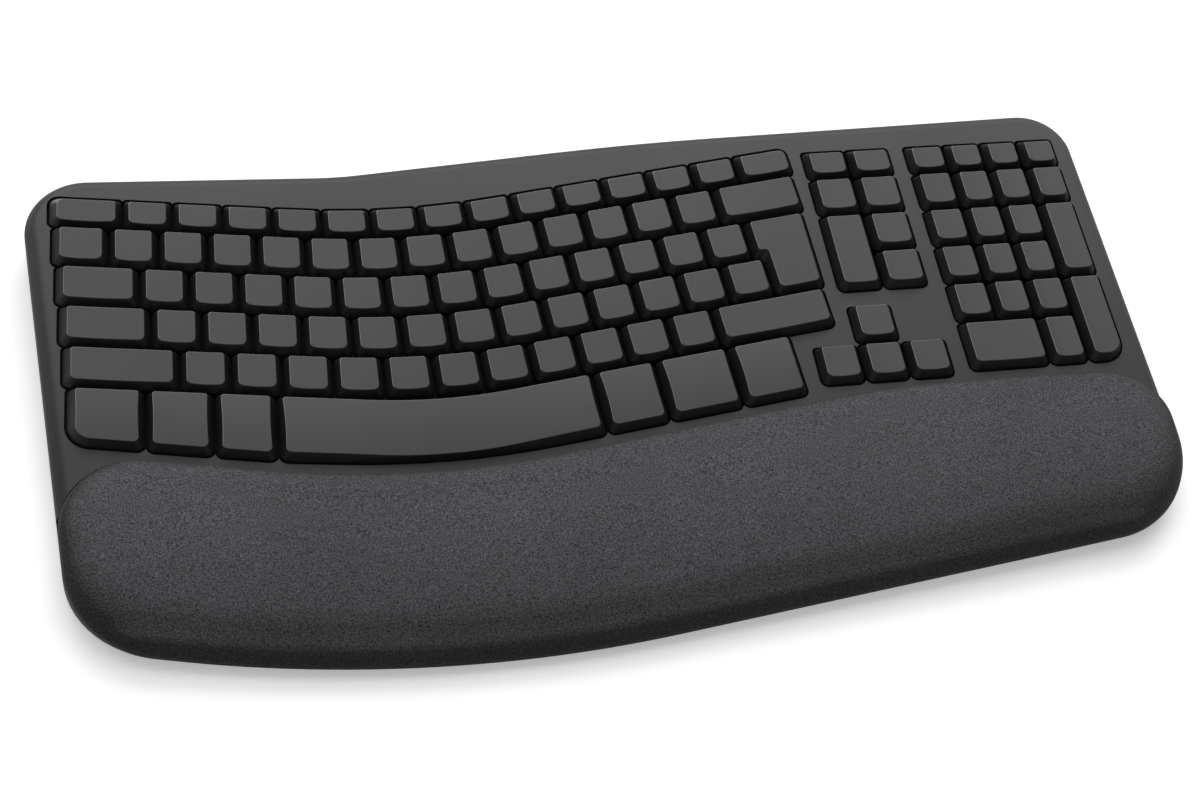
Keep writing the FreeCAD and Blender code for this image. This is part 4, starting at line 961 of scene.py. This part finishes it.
    def _surface(self) -> bmesh.types.BMesh:
        """Closed mesh of the pad: rolled rings round a mapped grid, a folded edge and a flat base.

        Returns:
            The mesh, in metres.
        """
        points, sides = self._outline()
        count = len(points)
        widths, walls, outsets, drops = (
            self._smoothed([getattr(self.rolls[side], name) for side in sides])
            for name in ("width", "wall", "outset", "drop"))
        tangents = [(points[(index + 1) % count] - points[index - 1]).normalized() for index in range(count)]
        outward = [Vector((tangent.y, -tangent.x)) for tangent in tangents]
        arcs = self._arcs()
        front = arcs[1]
        rear = list(reversed(arcs[4] + arcs[5]))
        mesh = bmesh.new()
        rings: list[list[bmesh.types.BMVert]] = []
        for ring in range(self.roll_rings + 1):
            angle = math.pi / 2 * ring / self.roll_rings
            row = []
            for index, start in enumerate(points):
                inward = widths[index] * (1 - math.cos(angle)) - outsets[index]
                place = start - outward[index] * inward
                base = self._shelf(place.y)
                top = self._top(place, front, rear)
                rise = walls[index] + (1 - walls[index]) * math.sin(angle)
                row.append(mesh.verts.new((place.x, place.y, base + (top - base) * rise)))
            rings.append(row)
        folds = self._folds(mesh, rings[0], outward, drops)
        chain = folds + rings
        for first, second in zip(chain, chain[1:]):
            for index in range(count):
                after = (index + 1) % count
                mesh.faces.new((first[index], first[after], second[after], second[index]))
        self._fill(mesh, rings[-1], lambda place: self._top(place, front, rear))
        mesh.faces.new(list(reversed(folds[0])))
        bmesh.ops.triangulate(mesh, faces=[face for face in mesh.faces if len(face.verts) > 4])
        bmesh.ops.scale(mesh, vec=(MM, MM, MM), verts=mesh.verts)
        bmesh.ops.recalc_face_normals(mesh, faces=mesh.faces)
        return mesh

    def _fill(self, mesh: bmesh.types.BMesh, ring: list[bmesh.types.BMVert],
              height: Callable[[Vector], float]) -> None:
        """Fill the innermost ring with a grid mapped between its four sides.

        Args:
            mesh: The mesh.
            ring: The innermost ring.
            height: Gives the height at a place in plan.
        """
        wide, deep = self.long_cells, self.cross_cells
        south = ring[:wide + 1]
        east = ring[wide:wide + deep + 1]
        north = list(reversed(ring[wide + deep:2 * wide + deep + 1]))
        west = list(reversed(ring[2 * wide + deep:] + ring[:1]))
        rows = [south]
        for step in range(1, deep):
            up = step / deep
            row = [west[step]]
            for cell in range(1, wide):
                along = cell / wide
                flat = (south[cell].co.xy * (1 - up) + north[cell].co.xy * up
                        + west[step].co.xy * (1 - along) + east[step].co.xy * along
                        - south[0].co.xy * (1 - up) * (1 - along) - south[-1].co.xy * (1 - up) * along
                        - north[0].co.xy * up * (1 - along) - north[-1].co.xy * up * along)
                row.append(mesh.verts.new((flat.x, flat.y, height(flat))))
            row.append(east[step])
            rows.append(row)
        rows.append(north)
        for first, second in zip(rows, rows[1:]):
            for cell in range(wide):
                mesh.faces.new((first[cell], first[cell + 1], second[cell + 1], second[cell]))

    def build(self) -> None:
        mesh = self._surface()
        mesh.normal_update()
        for vert in mesh.verts:
            if vert.normal.z > 0:
                wave = noise.noise(vert.co / MM * self.ripple_scale) * self.ripple * MM
                vert.co.z += wave * vert.normal.z
        obj = new_mesh_object("palm_rest", mesh, FINISHES[Shade.FABRIC])
        obj.data.polygons.foreach_set("use_smooth", [True] * len(obj.data.polygons))
        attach(obj, ROOT_BODY)
        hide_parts("palm_rest_cover", "palm_rest_foam")
        log.info("made palm_rest")


@dataclass
class Fasteners:
    """Screws and feet of the underside."""

    head_height: float = 1.2 * MM
    shank_radius: float = 1.1 * MM
    chamfer: float = 0.2 * MM
    recess_depth: float = 0.7 * MM
    recess_reach: float = 1.3 * MM
    arm_middle: float = 0.62
    arm_half: float = 0.30
    arm_inset: float = 0.05 * MM
    foot_hollow: float = 0.2 * MM
    hollow_floor: float = 0.45
    hollow_rim: float = 0.5
    foot_edge: tuple[tuple[float, float], ...] = ((0.5 * MM, 0.0), (0.15 * MM, 0.12 * MM), (0.0, 0.5 * MM))

    def _screw(self, mesh: bmesh.types.BMesh, low: Vector, high: Vector) -> None:
        """Add one screw: a chamfered head with a cross recess, and a pointed shank.

        Args:
            mesh: The mesh to add to.
            low: Lowest corner of the CAD screw.
            high: Its highest corner.
        """
        radius = (high.x - low.x) / 2
        centre = Vector(((low.x + high.x) / 2, (low.y + high.y) / 2, low.z))
        length = high.z - low.z
        shank = self.shank_radius
        inner = self.recess_reach
        profile = [(0.0, self.recess_depth), (inner, self.recess_depth), (inner, 0.0),
                   (radius - self.chamfer, 0.0), (radius, self.chamfer), (radius, self.head_height),
                   (shank, self.head_height), (shank, length - shank), (0.0, length)]
        lathe(mesh, profile, centre, UP, segments=32)
        half = Vector((inner * self.arm_half, inner * self.arm_half, self.recess_depth / 2))
        inset = Vector((self.arm_inset, self.arm_inset, 0))
        for quarter in range(4):
            turn = Matrix.Rotation(math.radians(45.0 + 90.0 * quarter), 3, "Z")
            corner = centre + turn @ Vector((inner * self.arm_middle, 0, self.recess_depth / 2))
            made_from = len(mesh.verts)
            block(mesh, corner - half + inset, corner + half, self.chamfer / 2)
            mesh.verts.ensure_lookup_table()
            bmesh.ops.rotate(mesh, verts=mesh.verts[made_from:], cent=corner, matrix=turn)

    def build(self) -> None:
        """Make the screws and the feet."""
        mesh = bmesh.new()
        for low, high in node_islands("case_screws"):
            self._screw(mesh, low, high)
        screws = new_piece("case_screws_cross", mesh, FINISHES[Shade.SCREW], ROOT_BODY)
        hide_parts("case_screws")
        mesh = bmesh.new()
        for low, high in node_islands("rubber_feet"):
            radius = (high.x - low.x) / 2
            centre = Vector(((low.x + high.x) / 2, (low.y + high.y) / 2, 0.0))
            profile = [(0.0, self.foot_hollow), (radius * self.hollow_floor, self.foot_hollow),
                       (radius * self.hollow_rim, 0.0)]
            profile += [(radius - inward, height) for inward, height in self.foot_edge]
            profile += [(radius, high.z), (0.0, high.z)]
            lathe(mesh, profile, centre, UP, segments=64)
        feet = new_piece("rubber_feet_turned", mesh, FINISHES[Shade.RUBBER], ROOT_BODY)
        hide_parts("rubber_feet")


@dataclass
class TiltLegs:
    """Two folding legs with ribbed rubber ends."""

    pad_bevel: float = 0.3 * MM
    ribs: int = 5
    rib_depth: float = 0.3 * MM
    rib_root: float = 0.5 * MM
    rib_margin: float = MM
    rib_share: float = 0.3
    rib_bevel: float = 0.1 * MM

    def build(self) -> None:
        """Dress the legs and make their pads."""
        for side in ("left", "right"):
            dress_node(f"{side}_leg", Shade.BASE)
            low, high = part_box(f"{side}_leg_pad")
            low, high = Vector(low), Vector(high)
            mesh = bmesh.new()
            block(mesh, low, high, self.pad_bevel)
            pitch = (high.z - low.z) / self.ribs
            half = pitch * self.rib_share
            for index in range(self.ribs):
                z = low.z + (index + 0.5) * pitch
                block(mesh, Vector((low.x + self.rib_margin, low.y - self.rib_depth, z - half)),
                      Vector((high.x - self.rib_margin, low.y + self.rib_root, z + half)), self.rib_bevel)
            piece = new_piece(f"{side}_leg_grip", mesh, FINISHES[Shade.RUBBER], f"{side}_leg")
            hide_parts(f"{side}_leg_pad")


@dataclass
class PowerBay:
    """Battery bay with its cells, contacts and door, and the board with its switch."""

    nub: float = 1.2 * MM
    nub_edge: float = 0.15 * MM
    crimp: float = 0.35 * MM
    cell_shares: tuple[float, ...] = (0.72, 0.78, 0.55, 0.5, 0.36, 0.34, 0.3)
    leaf: float = 0.4 * MM
    leaf_bevel: float = 0.08 * MM
    wire: float = 0.3 * MM
    wire_sides: int = 10
    coil_radius: float = 2.2 * MM
    coil_turns: int = 4
    turn_steps: int = 24
    ridge_count: int = 6
    ridge_start: float = 2.0 * MM
    ridge_pitch: float = 1.3 * MM
    ridge_height: float = 0.25 * MM
    ridge_root: float = 0.2 * MM
    ridge_width: float = 0.5 * MM
    ridge_half: float = 7 * MM
    ridge_bevel: float = 0.12 * MM

    def _cells(self) -> None:
        """Make the two jacketed cells."""
        boxes = node_islands("batteries")
        mesh = bmesh.new()
        for low, high in boxes:
            radius = (high.z - low.z) / 2
            centre = Vector((low.x, (low.y + high.y) / 2, (low.z + high.z) / 2))
            length = high.x - low.x
            crimp = self.crimp
            end = length - self.nub
            dish, ring, shoulder, groove, root, side, tip = (radius * share for share in self.cell_shares)
            profile = [(0.0, crimp), (dish, crimp), (ring, 0.0), (radius - crimp, 0.0), (radius, crimp),
                       (radius, end - crimp), (radius - crimp, end), (shoulder, end), (groove, end - crimp),
                       (root, end - crimp), (side, length - self.nub_edge), (tip, length), (0.0, length)]
            lathe(mesh, profile, centre, Vector((1, 0, 0)), segments=64)
        low, high = boxes[0]
        jacket = Jacket("cell_jacket", (0.02, 0.035, 0.05), (0.45, 0.30, 0.12), (0.55, 0.55, 0.53),
                        start=low.x, length=high.x - low.x)
        cells = new_piece("jacketed_cells", mesh, jacket.material(), ROOT_BODY)
        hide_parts("batteries")

    def _contacts(self) -> None:
        """Make the leaves and their coiled springs."""
        cell_low, cell_high = node_islands("batteries")[0]
        axis_z = (cell_low.z + cell_high.z) / 2
        mesh = bmesh.new()
        for facing, (low, high) in zip((1.0, -1.0), node_islands("battery_contacts")):
            root = low.x if facing > 0 else high.x
            front = root + facing * self.leaf
            block(mesh, Vector((min(root, front), low.y, low.z)), Vector((max(root, front), high.y, high.z)),
                  self.leaf_bevel)
            middle = Vector((front + facing * self.wire, (low.y + high.y) / 2, axis_z))
            reach = high.x - low.x - self.leaf - 2 * self.wire
            place = Matrix.Translation(middle + UP * self.coil_radius) @ Matrix.Rotation(math.pi / 2, 4, "X")
            ring = bmesh.ops.create_circle(mesh, segments=self.wire_sides, radius=self.wire, cap_ends=False,
                                           matrix=place)
            edges = list({link for vert in ring["verts"] for link in vert.link_edges})
            steps = self.turn_steps * self.coil_turns
            bmesh.ops.spin(mesh, geom=ring["verts"] + edges, cent=middle, axis=Vector((1, 0, 0)),
                           dvec=Vector((facing * reach / steps, 0, 0)), angle=math.tau * self.coil_turns,
                           steps=steps, use_merge=False)
        bmesh.ops.holes_fill(mesh, edges=[link for link in mesh.edges if link.is_boundary])
        bmesh.ops.recalc_face_normals(mesh, faces=mesh.faces)
        piece = new_piece("sprung_contacts", mesh, FINISHES[Shade.CONTACT], ROOT_BODY)
        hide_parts("battery_contacts")

    def _door(self) -> None:
        """Dress the door and add its grip ridges."""
        dress_node("battery_door", Shade.BASE)
        low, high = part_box("battery_door")
        middle = (low[0] + high[0]) / 2
        mesh = bmesh.new()
        for index in range(self.ridge_count):
            y = low[1] + self.ridge_start + index * self.ridge_pitch
            block(mesh, Vector((middle - self.ridge_half, y, low[2] - self.ridge_height)),
                  Vector((middle + self.ridge_half, y + self.ridge_width, low[2] + self.ridge_root)),
                  self.ridge_bevel)
        ridges = new_piece("door_ridges", mesh, FINISHES[Shade.BASE], "battery_door")

    def build(self) -> None:
        """Make and dress the bay's and the board's parts."""
        self._cells()
        self._contacts()
        self._door()
        dress_node("circuit_board", Shade.BOARD)
        dress_node("power_switch", Shade.SWITCH)
        dress_node("power_slider", Shade.SLIDER)


@dataclass
class Lamp:
    """One soft rectangular lamp."""

    name: str
    place: tuple[float, float, float]
    width: float
    depth: float
    power: float
    colour: Colour = (1.0, 1.0, 1.0)

    def build(self) -> None:
        """Make the lamp, aimed at the origin."""
        data = bpy.data.lights.new(self.name, "AREA")
        data.shape = "RECTANGLE"
        data.size = self.width
        data.size_y = self.depth
        data.energy = self.power
        data.color = self.colour
        obj = new_object(self.name, data)
        obj.location = self.place
        obj.rotation_euler = (-Vector(self.place)).to_track_quat("-Z", "Y").to_euler()


@dataclass
class Studio:
    """White floor, plain soft light and the camera of the photograph."""

    floor_half: float = 4.0
    floor_grain: float = 40.0
    floor_shades: tuple[Colour, Colour] = ((0.96, 0.96, 0.96), (0.98, 0.98, 0.98))
    ambient: float = 0.22
    lens: float = 72.0
    sensor: float = 36.0
    eye: tuple[float, float, float] = (-0.1977, -0.5407, 0.7527)
    right: tuple[float, float, float] = (0.976, -0.1800, 0.1227)
    up: tuple[float, float, float] = (0.0729, 0.8009, 0.5944)
    lamps: list[Lamp] = field(default_factory=lambda: [
        Lamp("rear_soft_box", (0.25, 1.45, 1.35), 2.4, 1.2, 27.0),
        Lamp("overhead_soft_box", (-0.10, 0.20, 1.90), 2.0, 1.4, 12.0),
        Lamp("left_strip", (-1.7, 0.5, 0.55), 2.0, 0.6, 2.0)])
    floor_glow: float = 0.36

    @staticmethod
    def _seen(canvas: NodeCanvas) -> bpy.types.NodeSocket:
        """Mask of the rays that show the backdrop: straight, mirrored or through glass.

        Args:
            canvas: The canvas of the material or world.

        Returns:
            The mask's socket.
        """
        path = canvas.add("ShaderNodeLightPath")
        straight = canvas.math("MAXIMUM", path.outputs["Is Camera Ray"], path.outputs["Is Transmission Ray"])
        return canvas.math("MAXIMUM", straight, path.outputs["Is Glossy Ray"])

    def _floor(self) -> None:
        """White floor that keeps the shadow and is clear from below."""
        material, canvas, shader = new_finish("studio_floor")
        grain = canvas.effect(EFFECTS.grain, Scale=self.floor_grain)
        glow = canvas.span(self._seen(canvas), 0.0, 1.0, 0.0, self.floor_glow)
        behind = canvas.add("ShaderNodeNewGeometry").outputs["Backfacing"]
        canvas.feed(shader, {"Base Color": canvas.blend(grain.outputs["Patch"], *self.floor_shades),
                             "Roughness": 1.0, "Specular IOR Level": 0.0, "Emission Color": WHITE,
                             "Emission Strength": glow, "Alpha": canvas.math("SUBTRACT", 1.0, behind)})
        mesh = bmesh.new()
        bmesh.ops.create_grid(mesh, x_segments=2, y_segments=2, size=self.floor_half)
        obj = new_mesh_object("studio_floor", mesh, material)

    def _world(self) -> None:
        """Even grey light all round, seen as white."""
        world = bpy.data.worlds.new("studio")
        bpy.context.scene.world = world
        world.use_nodes = True
        canvas = NodeCanvas(world.node_tree)
        strength = canvas.span(self._seen(canvas), 0.0, 1.0, self.ambient, 1.0)
        canvas.feed(world.node_tree.nodes["Background"], {"Strength": strength, "Color": WHITE})

    def _camera(self) -> None:
        """Camera at the photograph's place."""
        right = Vector(self.right).normalized()
        up = Vector(self.up).normalized()
        back = right.cross(up).normalized()
        up = back.cross(right)
        data = bpy.data.cameras.new("camera")
        data.lens = self.lens
        data.sensor_width = self.sensor
        obj = new_object("camera", data)
        turn = Matrix((right, up, back)).transposed().to_4x4()
        obj.matrix_world = Matrix.Translation(Vector(self.eye)) @ turn
        bpy.context.scene.camera = obj

    def build(self) -> None:
        """Set up the studio."""
        self._floor()
        self._world()
        self._camera()
        for lamp in self.lamps:
            lamp.build()
        bpy.context.scene.view_settings.view_transform = "Standard"


def main() -> None:
    """Build every sub-assembly."""
    Studio().build()
    Housing().build()
    KeyField().build()
    PalmRest().build()
    Fasteners().build()
    TiltLegs().build()
    PowerBay().build()
    bpy.context.view_layer.update()


if __name__ == "__main__":
    main()
